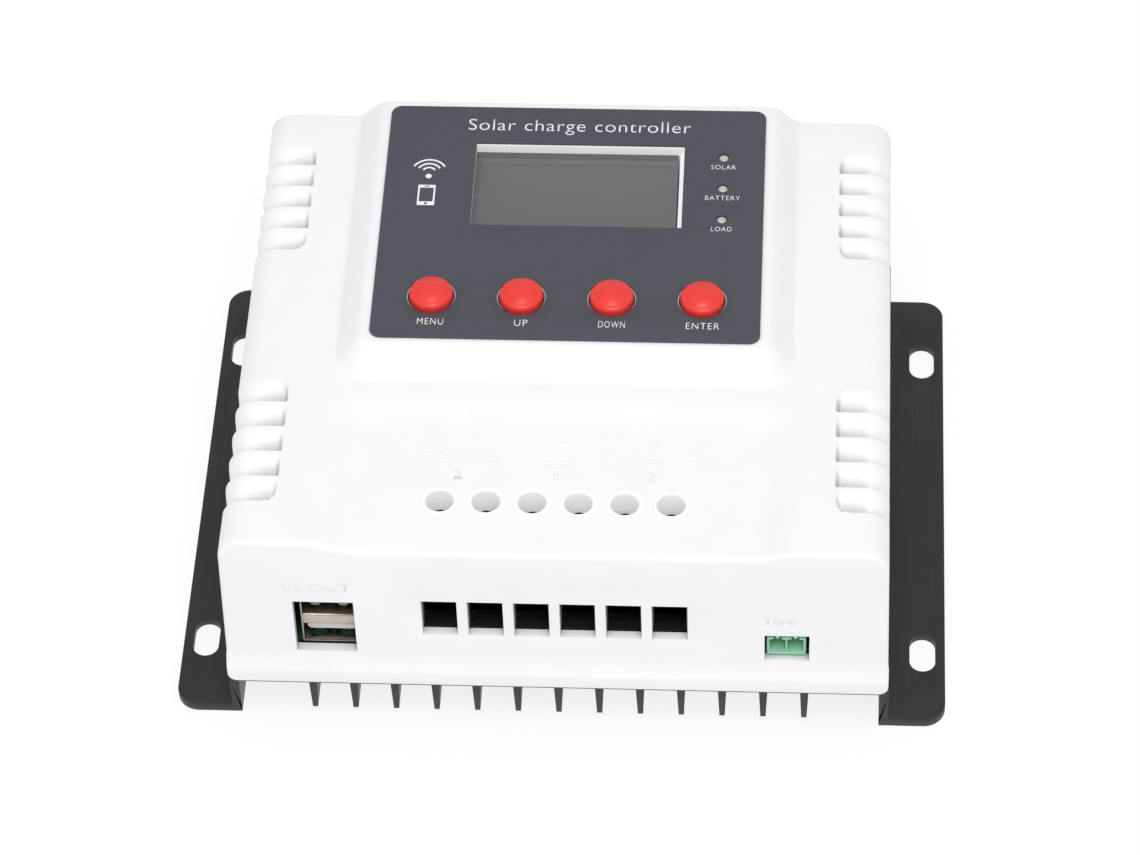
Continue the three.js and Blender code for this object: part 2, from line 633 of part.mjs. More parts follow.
function cover() {
  const walls = drawnAlongY(coverSection(0, SHOULDER_Z, FOOT_Z), FRONT_Y, BACK_Y);
  const skin = joined([walls, panelBody(0, PANEL_Z), lip(-1), lip(1)]);
  const scoops = scoopGroups.flatMap(({ start, pitch }) =>
    Array.from({ length: 2 * SCOOPS_PER_GROUP }, (_, i) =>
      scoopCutter(i % 2 ? 1 : -1, start + Math.floor(i / 2) * pitch, pitch),
    ),
  );
  let shell = without(skin, [recessCutter(), ...scoops]).subtract(coverHollow());

  const posts = [];
  const cuts = [];
  for (const side of [-1, 1]) {
    for (const y of [-HOUSING_SCREW_Y, HOUSING_SCREW_Y]) {
      const x = side * HOUSING_SCREW_X;
      posts.push(cylinder(x, y, BOSS_R, FOOT_Z, CEILING_Z + 0.5));
      cuts.push(cylinder(x, y, HOUSING_SCREW_R + FIT_GAP, FOOT_Z - 1, FOOT_Z + BOSS_BORE_DEPTH, SMALL_SIDES));
    }
    const stakeX = side * STAKE_X;
    const shoulderZ = DISPLAY_BOARD_TOP + SEAT_GAP;
    posts.push(cylinder(stakeX, BUTTON_Y, STAKE_SHOULDER_R, shoulderZ, PANEL_CEILING_Z + 0.5));
    posts.push(cylinder(stakeX, BUTTON_Y, STAKE_R, DISPLAY_BOARD_Z - 1, PANEL_CEILING_Z, SMALL_SIDES));
  }
  const tubeFootZ = BLOCK_TOP_Z + FIT_GAP;
  const recessZ = SHOULDER_Z - RECESS_FRONT_DEPTH;
  for (let i = 0; i < POLES; i++) {
    const x = poleX(i);
    posts.push(cylinder(x, TERMINAL_Y, ACCESS_HOLE_R + ACCESS_TUBE_WALL, tubeFootZ, recessZ - 0.5));
    cuts.push(cylinder(x, TERMINAL_Y, ACCESS_HOLE_R, tubeFootZ - 1, SHOULDER_Z + 1));
    const rimR = ACCESS_HOLE_R + 2 * ACCESS_RIM;
    cuts.push(cone(x, TERMINAL_Y, ACCESS_HOLE_R, rimR, recessZ - ACCESS_RIM, SHOULDER_Z));
    cuts.push(
      block(x, FRONT_Y, WIRE_WINDOW_WIDTH, 4 * COVER_WALL, WIRE_WINDOW_LOW_Z, WIRE_WINDOW_HIGH_Z),
    );
  }
  const portZ = PART_BASE_Z;
  cuts.push(
    block(
      PORT_X,
      FRONT_Y,
      PORT_WIDTH + 2 * FIT_GAP,
      4 * COVER_WALL,
      portZ - FIT_GAP,
      portZ + PORT_HEIGHT + FIT_GAP,
    ),
    block(
      HEADER_X,
      FRONT_Y,
      HEADER_WIDTH + 2 * FIT_GAP,
      4 * COVER_WALL,
      portZ - FIT_GAP,
      portZ + HEADER_HEIGHT + FIT_GAP,
    ),
    block(SCREEN_X, SCREEN_Y, SCREEN_WIDTH, SCREEN_LENGTH, PANEL_CEILING_Z - 1, PANEL_Z + 1),
  );
  for (const y of LED_Y) {
    cuts.push(cylinder(LED_X, y, LED_R + FIT_GAP, PANEL_CEILING_Z - 1, PANEL_Z + 1, SMALL_SIDES));
  }
  BUTTON_NAMES.forEach((name, i) => {
    cuts.push(cylinder(buttonX(i), BUTTON_Y, BUTTON_R + FIT_GAP, PANEL_CEILING_Z - 1, PANEL_Z + 1));
  });
  shell = joined([shell, ...posts]);
  return without(shell, cuts);
}

// ---------------------------------------------------------------- display

function displayLabel() {
  const y = PANEL_FRONT_Y + LABEL_FRONT_MARGIN + LABEL_LENGTH / 2;
  const sheet = raised(
    roundedRectangle(0, y, LABEL_WIDTH, LABEL_LENGTH, LABEL_CORNER_R),
    PANEL_Z,
    LABEL_Z,
  );
  const cuts = [block(SCREEN_X, SCREEN_Y, SCREEN_WIDTH, SCREEN_LENGTH, PANEL_Z - 1, LABEL_Z + 1)];
  for (const ledY of LED_Y) {
    cuts.push(cylinder(LED_X, ledY, LED_R + FIT_GAP, PANEL_Z - 1, LABEL_Z + 1, SMALL_SIDES));
  }
  BUTTON_NAMES.forEach((name, i) => {
    cuts.push(cylinder(buttonX(i), BUTTON_Y, BUTTON_R + FIT_GAP, PANEL_Z - 1, LABEL_Z + 1));
  });
  return without(sheet, cuts);
}

function screenFrame() {
  const border = 2 * SCREEN_FRAME_BORDER;
  const topZ = PANEL_CEILING_Z - SEAT_GAP;
  const foot = DISPLAY_BOARD_TOP + SEAT_GAP;
  const width = GLASS_WIDTH + 2 * FIT_GAP;
  return block(SCREEN_X, SCREEN_Y, SCREEN_WIDTH + border, SCREEN_LENGTH + border, foot, topZ).subtract(
    block(GLASS_X, SCREEN_Y, width, SCREEN_LENGTH, foot - 1, topZ + 1),
  );
}

function screenGlass() {
  const length = SCREEN_LENGTH - 2 * FIT_GAP;
  const foot = DISPLAY_BOARD_TOP + SEAT_GAP;
  return block(GLASS_X, SCREEN_Y, GLASS_WIDTH, length, foot, PANEL_Z - SCREEN_DROP);
}

function displayBoard() {
  const y = DISPLAY_BOARD_FRONT_Y + DISPLAY_BOARD_LENGTH / 2;
  const board = block(0, y, DISPLAY_BOARD_WIDTH, DISPLAY_BOARD_LENGTH, DISPLAY_BOARD_Z, DISPLAY_BOARD_TOP);
  const r = STAKE_R + FIT_GAP;
  const holes = [-1, 1].map((side) =>
    cylinder(side * STAKE_X, BUTTON_Y, r, DISPLAY_BOARD_Z - 1, DISPLAY_BOARD_TOP + 1, SMALL_SIDES),
  );
  return without(board, holes);
}

/** A domed indicator standing on the display board. */
function indicator(y) {
  const foot = DISPLAY_BOARD_TOP + SEAT_GAP;
  const dome = LABEL_Z;
  const points = [[0, foot], [LED_R, foot], [LED_R, dome - LED_R]];
  for (let step = 1; step < 3; step++) {
    const angle = (step / 3) * (Math.PI / 2);
    points.push([LED_R * Math.cos(angle), dome - LED_R + LED_R * Math.sin(angle)]);
  }
  points.push([0, dome]);
  return turned(LED_X, y, points, SMALL_SIDES);
}

/** A push switch whose plunger belongs to the button cap. */
function pushSwitch(x) {
  const foot = DISPLAY_BOARD_TOP + SEAT_GAP;
  const body = block(x, BUTTON_Y, SWITCH_SIZE, SWITCH_SIZE, foot, foot + SWITCH_HEIGHT);
  const bore = cylinder(x, BUTTON_Y, PLUNGER_R + FIT_GAP, foot + 1, foot + SWITCH_HEIGHT + 1, SMALL_SIDES);
  return body.subtract(bore);
}

/** A domed cap with the switch's plunger under it. */
function buttonCap(x) {
  const edge = LABEL_Z + BUTTON_EDGE_RISE;
  const skirt = edge - BUTTON_SKIRT;
  const plungerFoot = DISPLAY_BOARD_TOP + SEAT_GAP + 2;
  const bend = 0.6;
  const sphereR = (BUTTON_R ** 2 + BUTTON_DOME ** 2) / (2 * BUTTON_DOME);
  const points = [[0, plungerFoot], [PLUNGER_R, plungerFoot], [PLUNGER_R, skirt], [BUTTON_R - bend, skirt]];
  points.push([BUTTON_R, skirt + bend], [BUTTON_R, edge]);
  for (let step = 1; step < 4; step++) {
    const r = BUTTON_R * (1 - step / 4);
    points.push([r, edge + BUTTON_DOME - sphereR + Math.sqrt(sphereR ** 2 - r ** 2)]);
  }
  points.push([0, edge + BUTTON_DOME]);
  return turned(x, BUTTON_Y, points);
}

// ---------------------------------------------------------------- main board

function mainBoard() {
  const y = MAIN_BOARD_FRONT_Y + MAIN_BOARD_LENGTH / 2;
  const board = block(0, y, MAIN_BOARD_WIDTH, MAIN_BOARD_LENGTH, MAIN_BOARD_Z, MAIN_BOARD_TOP);
  const holes = [];
  for (const side of [-1, 1]) {
    for (const holeY of BOARD_FIXING_Y) {
      const x = side * BOARD_FIXING_X;
      const r = BOARD_SCREW_SHANK_R + FIT_GAP;
      holes.push(cylinder(x, holeY, r, MAIN_BOARD_Z - 1, MAIN_BOARD_TOP + 1, SMALL_SIDES));
    }
  }
  return without(board, holes);
}

/** A pan-head screw, head up, with its head's underside at z. */
function boardScrew(x, y) {
  const z = MAIN_BOARD_TOP + SEAT_GAP;
  const tip = MAIN_BOARD_TOP - BOARD_SCREW_LENGTH;
  const points = [
    [0, tip],
    [BOARD_SCREW_SHANK_R, tip + 1],
    [BOARD_SCREW_SHANK_R, z],
    [BOARD_SCREW_HEAD_R, z],
    [BOARD_SCREW_HEAD_R, z + 1],
    [BOARD_SCREW_HEAD_R * 0.7, z + 1.8],
    [0, z + 1.8],
  ];
  return turned(x, y, points, SMALL_SIDES);
}

/** A drum core standing on the board, and the coil round its waist. */
function inductorCore() {
  const foot = PART_BASE_Z;
  const top = foot + INDUCTOR_HEIGHT;
  const flange = 2.5;
  const waist = INDUCTOR_R * 0.45;
  const points = [
    [0, foot],
    [INDUCTOR_R, foot],
    [INDUCTOR_R, foot + flange],
    [waist, foot + flange],
    [waist, top - flange],
    [INDUCTOR_R, top - flange],
    [INDUCTOR_R, top],
    [0, top],
  ];
  return turned(INDUCTOR_X, INDUCTOR_Y, points);
}

function inductorCoil() {
  const low = PART_BASE_Z + 2.5 + FIT_GAP;
  const high = PART_BASE_Z + INDUCTOR_HEIGHT - 2.5 - FIT_GAP;
  const inner = INDUCTOR_R * 0.45 + FIT_GAP;
  const outer = INDUCTOR_R - 1;
  const points = [[inner, low], [outer, low], [outer, high], [inner, high], [inner, low]];
  return turned(INDUCTOR_X, INDUCTOR_Y, points);
}

/** An upright can with the rolled groove near its foot. */
function capacitor(x) {
  const foot = PART_BASE_Z;
  const top = foot + CAPACITOR_HEIGHT;
  const points = [
    [0, foot],
    [CAPACITOR_R, foot],
    [CAPACITOR_R, foot + 2],
    [CAPACITOR_R - 0.5, foot + 2.8],
    [CAPACITOR_R, foot + 3.6],
    [CAPACITOR_R, top - 0.6],
    [CAPACITOR_R - 0.6, top],
    [0, top],
  ];
  return turned(x, CAPACITOR_Y, points);
}

/** The insulating sheet between the power transistors and the heat sink's plate. */
function insulatingPad() {
  const z = PLATE_UNDERSIDE_Z + PLATE_THICKNESS + SEAT_GAP;
  const width = Math.abs(TRANSISTOR_X[1] - TRANSISTOR_X[0]) + TRANSISTOR_WIDTH + 2 * PAD_MARGIN;
  const x = (TRANSISTOR_X[0] + TRANSISTOR_X[1]) / 2;
  return block(x, TRANSISTOR_Y, width, TRANSISTOR_LENGTH + 2 * PAD_MARGIN, z, z + PAD_THICKNESS);
}

/** A flat power transistor: a metal tab half as thick as its body. */
function powerTransistor(x) {
  const z = PLATE_UNDERSIDE_Z + PLATE_THICKNESS + 2 * SEAT_GAP + PAD_THICKNESS;
  const front = TRANSISTOR_Y - TRANSISTOR_LENGTH / 2;
  const back = TRANSISTOR_Y + TRANSISTOR_LENGTH / 2;
  const half = TRANSISTOR_WIDTH / 2;
  const body = box(x - half, x + half, front, back - 6, z, z + TRANSISTOR_THICKNESS);
  const tab = box(x - half, x + half, front, back, z, z + 1.3);
  return joined([body, tab]).subtract(cylinder(x, back - 3, 1.8, z - 1, z + 3, SMALL_SIDES));
}

function radioModule() {
  const [width, length, height] = RADIO_SIZE;
  const board = block(RADIO_X, RADIO_Y, width, length, PART_BASE_Z, PART_BASE_Z + 1);
  const canZ = PART_BASE_Z + 1;
  const can = block(RADIO_X, RADIO_Y - 3, width - 2, length - 9, canZ, PART_BASE_Z + height);
  return board.add(can);
}

/** The flat cable that joins the two boards, bowed towards the back. */
function ribbonCable() {
  const low = PART_BASE_Z;
  const high = DISPLAY_BOARD_Z - SEAT_GAP;
  const steps = 10;
  const line = Array.from({ length: steps + 1 }, (_, i) => {
    const along = i / steps;
    return [RIBBON_Y + RIBBON_BOW * Math.sin(Math.PI * along), low + (high - low) * along];
  });
  const otherSide = line.map(([y, z]) => [y + RIBBON_THICKNESS, z]).reverse();
  const half = RIBBON_WIDTH / 2;
  return drawnAlongX([...line, ...otherSide], RIBBON_X - half, RIBBON_X + half);
}

// ---------------------------------------------------------------- terminals

function terminalBlock() {
  const width = POLES * POLE_PITCH;
  const length = BLOCK_BACK_Y - BLOCK_FRONT_Y;
  const y = (BLOCK_FRONT_Y + BLOCK_BACK_Y) / 2;
  const body = block(0, y, width, length, PART_BASE_Z, BLOCK_TOP_Z);
  const cuts = [];
  for (let i = 0; i < POLES; i++) {
    const x = poleX(i);
    cuts.push(block(x, TERMINAL_Y, CHAMBER_WIDTH, CHAMBER_LENGTH, PART_BASE_Z - 1, CHAMBER_TOP_Z));
    cuts.push(
      box(
        x - WIRE_WINDOW_WIDTH / 2 + FIT_GAP,
        x + WIRE_WINDOW_WIDTH / 2 - FIT_GAP,
        BLOCK_FRONT_Y - 1,
        TERMINAL_Y,
        WIRE_WINDOW_LOW_Z,
        WIRE_WINDOW_HIGH_Z,
      ),
    );
    const shankR = TERMINAL_SCREW_R + FIT_GAP;
    const headR = TERMINAL_HEAD_R + FIT_GAP;
    cuts.push(cylinder(x, TERMINAL_Y, shankR, CHAMBER_TOP_Z - 1, HEAD_SEAT_Z + 1, SMALL_SIDES));
    cuts.push(cylinder(x, TERMINAL_Y, headR, HEAD_SEAT_Z, BLOCK_TOP_Z + 1));
  }
  return without(body, cuts);
}

/** A slotted captive screw: it turns in place and lifts the cage. */
function terminalScrew(x) {
  const seat = HEAD_SEAT_Z + SEAT_GAP;
  const top = seat + TERMINAL_HEAD_HEIGHT;
  const shank = cylinder(x, TERMINAL_Y, TERMINAL_SCREW_R, CONTACT_TOP_Z + FIT_GAP, seat + 0.5, SMALL_SIDES);
  const head = cylinder(x, TERMINAL_Y, TERMINAL_HEAD_R, seat, top);
  const slot = block(x, TERMINAL_Y, SCREW_SLOT_WIDTH, 3 * TERMINAL_HEAD_R, top - SCREW_SLOT_DEPTH, top + 1);
  return shank.add(head).subtract(slot);
}

/** The clamp cage: a square sleeve whose head carries the screw thread. */
function terminalCage(x) {
  const windowLow = CAGE_Z + CAGE_SIDE;
  const windowHigh = windowLow + CAGE_WINDOW;
  const body = block(x, TERMINAL_Y, CAGE_WIDTH, CAGE_LENGTH, CAGE_Z, CAGE_TOP_Z);
  return without(body, [
    block(x, TERMINAL_Y, CAGE_WIDTH - 2 * CAGE_SIDE, CAGE_LENGTH + 2, windowLow, windowHigh),
    cylinder(x, TERMINAL_Y, TERMINAL_SCREW_R + FIT_GAP, windowHigh - 1, CAGE_TOP_Z + 1, SMALL_SIDES),
  ]);
}

/** The fixed contact: a bar through the cage and a leg down to the board. */
function contactBar(x) {
  const front = TERMINAL_Y - CAGE_LENGTH / 2;
  const back = TERMINAL_Y + CHAMBER_LENGTH / 2 - FIT_GAP;
  const half = CONTACT_WIDTH / 2;
  const low = CONTACT_TOP_Z - CONTACT_THICKNESS;
  return joined([
    box(x - half, x + half, front, back, low, CONTACT_TOP_Z),
    box(x - half, x + half, back - CONTACT_THICKNESS, back, PART_BASE_Z, CONTACT_TOP_Z),
  ]);
}

// ---------------------------------------------------------------- port and header

const portMouthY = FRONT_Y + PORT_FLANGE_BACK;
const portPartition = (PORT_HEIGHT - 2 * PORT_MOUTH - 2 * PORT_SHEET) / 2;
const portMouthZ = [
  PART_BASE_Z + PORT_SHEET + portPartition / 2,
  PART_BASE_Z + PORT_HEIGHT - PORT_SHEET - portPartition / 2 - PORT_MOUTH,
];

/** The metal shell round both ports, open at the front. */
function portShell() {
  const backY = portMouthY + PORT_DEPTH;
  const bodyY = (portMouthY + backY) / 2;
  const body = block(PORT_X, bodyY, PORT_WIDTH, PORT_DEPTH, PART_BASE_Z, PART_BASE_Z + PORT_HEIGHT);
  const inner = PORT_WIDTH - 2 * PORT_SHEET;
  const cavities = portMouthZ.map((z) =>
    block(PORT_X, portMouthY, inner, 2 * (PORT_DEPTH - 5), z, z + PORT_MOUTH),
  );
  const rear = box(
    PORT_X - inner / 2,
    PORT_X + inner / 2,
    backY - 5.5,
    backY + 1,
    PART_BASE_Z + PORT_SHEET,
    PART_BASE_Z + PORT_HEIGHT - PORT_SHEET,
  );
  return without(body, [...cavities, rear]);
}

/** The moulded core behind the ports, with a contact tongue in each. */
function portCore() {
  const backY = portMouthY + PORT_DEPTH;
  const width = PORT_WIDTH - 2 * PORT_SHEET - 2 * FIT_GAP;
  const half = width / 2;
  const core = box(
    PORT_X - half,
    PORT_X + half,
    backY - 5,
    backY,
    PART_BASE_Z + PORT_SHEET + FIT_GAP,
    PART_BASE_Z + PORT_HEIGHT - PORT_SHEET - FIT_GAP,
  );
  const tongues = portMouthZ.map((z) => {
    const low = z + (PORT_MOUTH - TONGUE_THICKNESS) / 2;
    const length = PORT_DEPTH - 6;
    return block(PORT_X, backY - 4 - length / 2, TONGUE_WIDTH, length, low, low + TONGUE_THICKNESS);
  });
  return joined([core, ...tongues]);
}

const headerMouthY = FRONT_Y + HEADER_FLANGE_BACK;
const headerPinX = [HEADER_X - HEADER_PIN_PITCH / 2, HEADER_X + HEADER_PIN_PITCH / 2];
const headerPinZ = PART_BASE_Z + HEADER_HEIGHT / 2;

/** The two-way socket housing, with one chamber for each pin. */
function sensorHeader() {
  const bodyY = headerMouthY + HEADER_DEPTH / 2;
  const body = block(HEADER_X, bodyY, HEADER_WIDTH, HEADER_DEPTH, PART_BASE_Z, PART_BASE_Z + HEADER_HEIGHT);
  const chamber = HEADER_PIN_PITCH - HEADER_WALL / 2;
  const cuts = headerPinX.flatMap((x) => [
    block(
      x,
      headerMouthY,
      chamber,
      2 * (HEADER_DEPTH - 2),
      PART_BASE_Z + HEADER_WALL,
      PART_BASE_Z + HEADER_HEIGHT - HEADER_WALL,
    ),
    block(
      x,
      bodyY,
      HEADER_PIN + 2 * FIT_GAP,
      HEADER_DEPTH + 2,
      headerPinZ - HEADER_PIN / 2 - FIT_GAP,
      headerPinZ + HEADER_PIN / 2 + FIT_GAP,
    ),
  ]);
  return without(body, cuts);
}

/** A square pin, bent down to the board behind the housing. */
function headerPin(x) {
  const half = HEADER_PIN / 2;
  const front = headerMouthY + 1.5;
  const back = headerMouthY + HEADER_DEPTH + FIT_GAP + HEADER_PIN;
  return joined([
    box(x - half, x + half, front, back, headerPinZ - half, headerPinZ + half),
    box(x - half, x + half, back - HEADER_PIN, back, PART_BASE_Z, headerPinZ + half),
  ]);
}

/** A housing screw, head down under the plate, with a cross recess. */
function housingScrew(x, y) {
  const seat = PLATE_UNDERSIDE_Z - SEAT_GAP;
  const tip = seat + HOUSING_SCREW_LENGTH;
  const foot = seat - HOUSING_SCREW_HEAD;
  const points = [
    [0, foot],
    [HOUSING_SCREW_HEAD_R * 0.7, foot],
    [HOUSING_SCREW_HEAD_R, foot + 0.9],
    [HOUSING_SCREW_HEAD_R, seat],
    [HOUSING_SCREW_R, seat],
    [HOUSING_SCREW_R, tip - 1],
    [0, tip],
  ];
  const arm = 2.8;
  const bar = 0.7;
  return without(turned(x, y, points, SMALL_SIDES), [
    block(x, y, arm, bar, foot - 1, foot + 1),
    block(x, y, bar, arm, foot - 1, foot + 1),
  ]);
}

// ---------------------------------------------------------------- assembly

addPiece("heat_sink", heatSink(), FINISHES.blackAnodised);
addPiece("cover", cover(), FINISHES.whitePlastic);
addPiece("display_label", displayLabel(), FINISHES.slateFilm);
addPiece("screen_frame", screenFrame(), FINISHES.whitePlastic);
addPiece("screen_glass", screenGlass(), FINISHES.screenGlass);
addPiece("display_board", displayBoard(), FINISHES.greenBoard);
LED_NAMES.forEach((name, i) => {
  addPiece(`${name}_led`, indicator(LED_Y[i]), FINISHES.ledLens);
});
BUTTON_NAMES.forEach((name, i) => {
  addPiece(`${name}_switch`, pushSwitch(buttonX(i)), FINISHES.blackPlastic);
  addPiece(`${name}_button`, buttonCap(buttonX(i)), FINISHES.redPlastic);
});
addPiece("main_board", mainBoard(), FINISHES.greenBoard);
let boardScrews = 0;
for (const side of [-1, 1]) {
  for (const y of BOARD_FIXING_Y) {
    boardScrews += 1;
    addPiece(`board_screw_${boardScrews}`, boardScrew(side * BOARD_FIXING_X, y), FINISHES.steel);
  }
}
addPiece("inductor_core", inductorCore(), FINISHES.ferrite);
addPiece("inductor_coil", inductorCoil(), FINISHES.copper);
CAPACITOR_X.forEach((x, i) => {
  addPiece(`capacitor_${i + 1}`, capacitor(x), FINISHES.blackPlastic);
});
addPiece("insulating_pad", insulatingPad(), FINISHES.greyPad);
TRANSISTOR_X.forEach((x, i) => {
  addPiece(`power_transistor_${i + 1}`, powerTransistor(x), FINISHES.blackPlastic);
});
addPiece("radio_module", radioModule(), FINISHES.steel);
addPiece("ribbon_cable", ribbonCable(), FINISHES.greyRibbon);
addPiece("terminal_block", terminalBlock(), FINISHES.blackPlastic);
for (let i = 0; i < POLES; i++) {
  addPiece(`terminal_screw_${i + 1}`, terminalScrew(poleX(i)), FINISHES.steel);
  addPiece(`terminal_cage_${i + 1}`, terminalCage(poleX(i)), FINISHES.nickel);
  addPiece(`contact_bar_${i + 1}`, contactBar(poleX(i)), FINISHES.copper);
}
addPiece("port_shell", portShell(), FINISHES.nickel);
addPiece("port_core", portCore(), FINISHES.whitePlastic);
addPiece("sensor_header", sensorHeader(), FINISHES.greenPlastic);
headerPinX.forEach((x, i) => {
  addPiece(`header_pin_${i + 1}`, headerPin(x), FINISHES.nickel);
});
let housingScrews = 0;
for (const side of [-1, 1]) {
  for (const y of [-HOUSING_SCREW_Y, HOUSING_SCREW_Y]) {
    housingScrews += 1;
    addPiece(`housing_screw_${housingScrews}`, housingScrew(side * HOUSING_SCREW_X, y), FINISHES.steel);
  }
}

export default controller;
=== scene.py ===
"""The looks of a wall-mounted solar charge controller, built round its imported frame.

Sizes are in millimetres and are turned into metres where a mesh is made. X runs across the wiring side,
Y from the wiring side to the display side, and Z up from the mounting surface.
"""

import logging
import math
from dataclasses import dataclass, field
from enum import Enum
from typing import Callable, Iterable, Sequence

import bmesh
import bpy
import numpy as np
from mathutils import Matrix, Vector


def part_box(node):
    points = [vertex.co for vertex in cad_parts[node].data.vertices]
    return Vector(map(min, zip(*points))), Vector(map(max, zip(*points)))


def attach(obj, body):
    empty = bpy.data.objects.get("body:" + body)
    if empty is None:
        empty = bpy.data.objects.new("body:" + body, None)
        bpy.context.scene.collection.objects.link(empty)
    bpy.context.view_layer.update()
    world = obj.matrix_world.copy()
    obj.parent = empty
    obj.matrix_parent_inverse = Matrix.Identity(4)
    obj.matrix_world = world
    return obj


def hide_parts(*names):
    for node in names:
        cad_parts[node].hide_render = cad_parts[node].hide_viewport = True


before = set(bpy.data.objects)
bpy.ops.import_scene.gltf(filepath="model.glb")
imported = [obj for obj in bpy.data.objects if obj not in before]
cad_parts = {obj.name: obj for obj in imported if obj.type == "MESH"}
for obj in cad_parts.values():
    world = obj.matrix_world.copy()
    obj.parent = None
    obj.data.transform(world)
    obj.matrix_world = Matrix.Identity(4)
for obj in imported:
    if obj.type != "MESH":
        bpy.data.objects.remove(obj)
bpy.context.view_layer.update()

LOG = logging.getLogger("charge_controller")
MM = 0.001
HOUSING = "housing"
Point = tuple[float, float, float]
Colour = tuple[float, float, float]


# ------------------------------------------------------------------ the frame's own places


@dataclass(frozen=True)
class Extent:
    """The box round a CAD node, in millimetres."""

    low: Vector
    high: Vector

    @classmethod
    def of(cls, node: str) -> "Extent":
        """Reads a node's box from the frame."""
        low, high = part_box(node)
        return cls(low / MM, high / MM)

    @property
    def centre(self) -> Vector:
        """The middle of the box."""
        return (self.low + self.high) / 2

    @property
    def size(self) -> Vector:
        """The box's three lengths."""
        return self.high - self.low


# ------------------------------------------------------------------ modelling tools


def deselect_all() -> None:
    """Leaves edit mode and clears the selection."""
    if bpy.context.object and bpy.context.object.mode != "OBJECT":
        bpy.ops.object.mode_set(mode="OBJECT")
    bpy.ops.object.select_all(action="DESELECT")


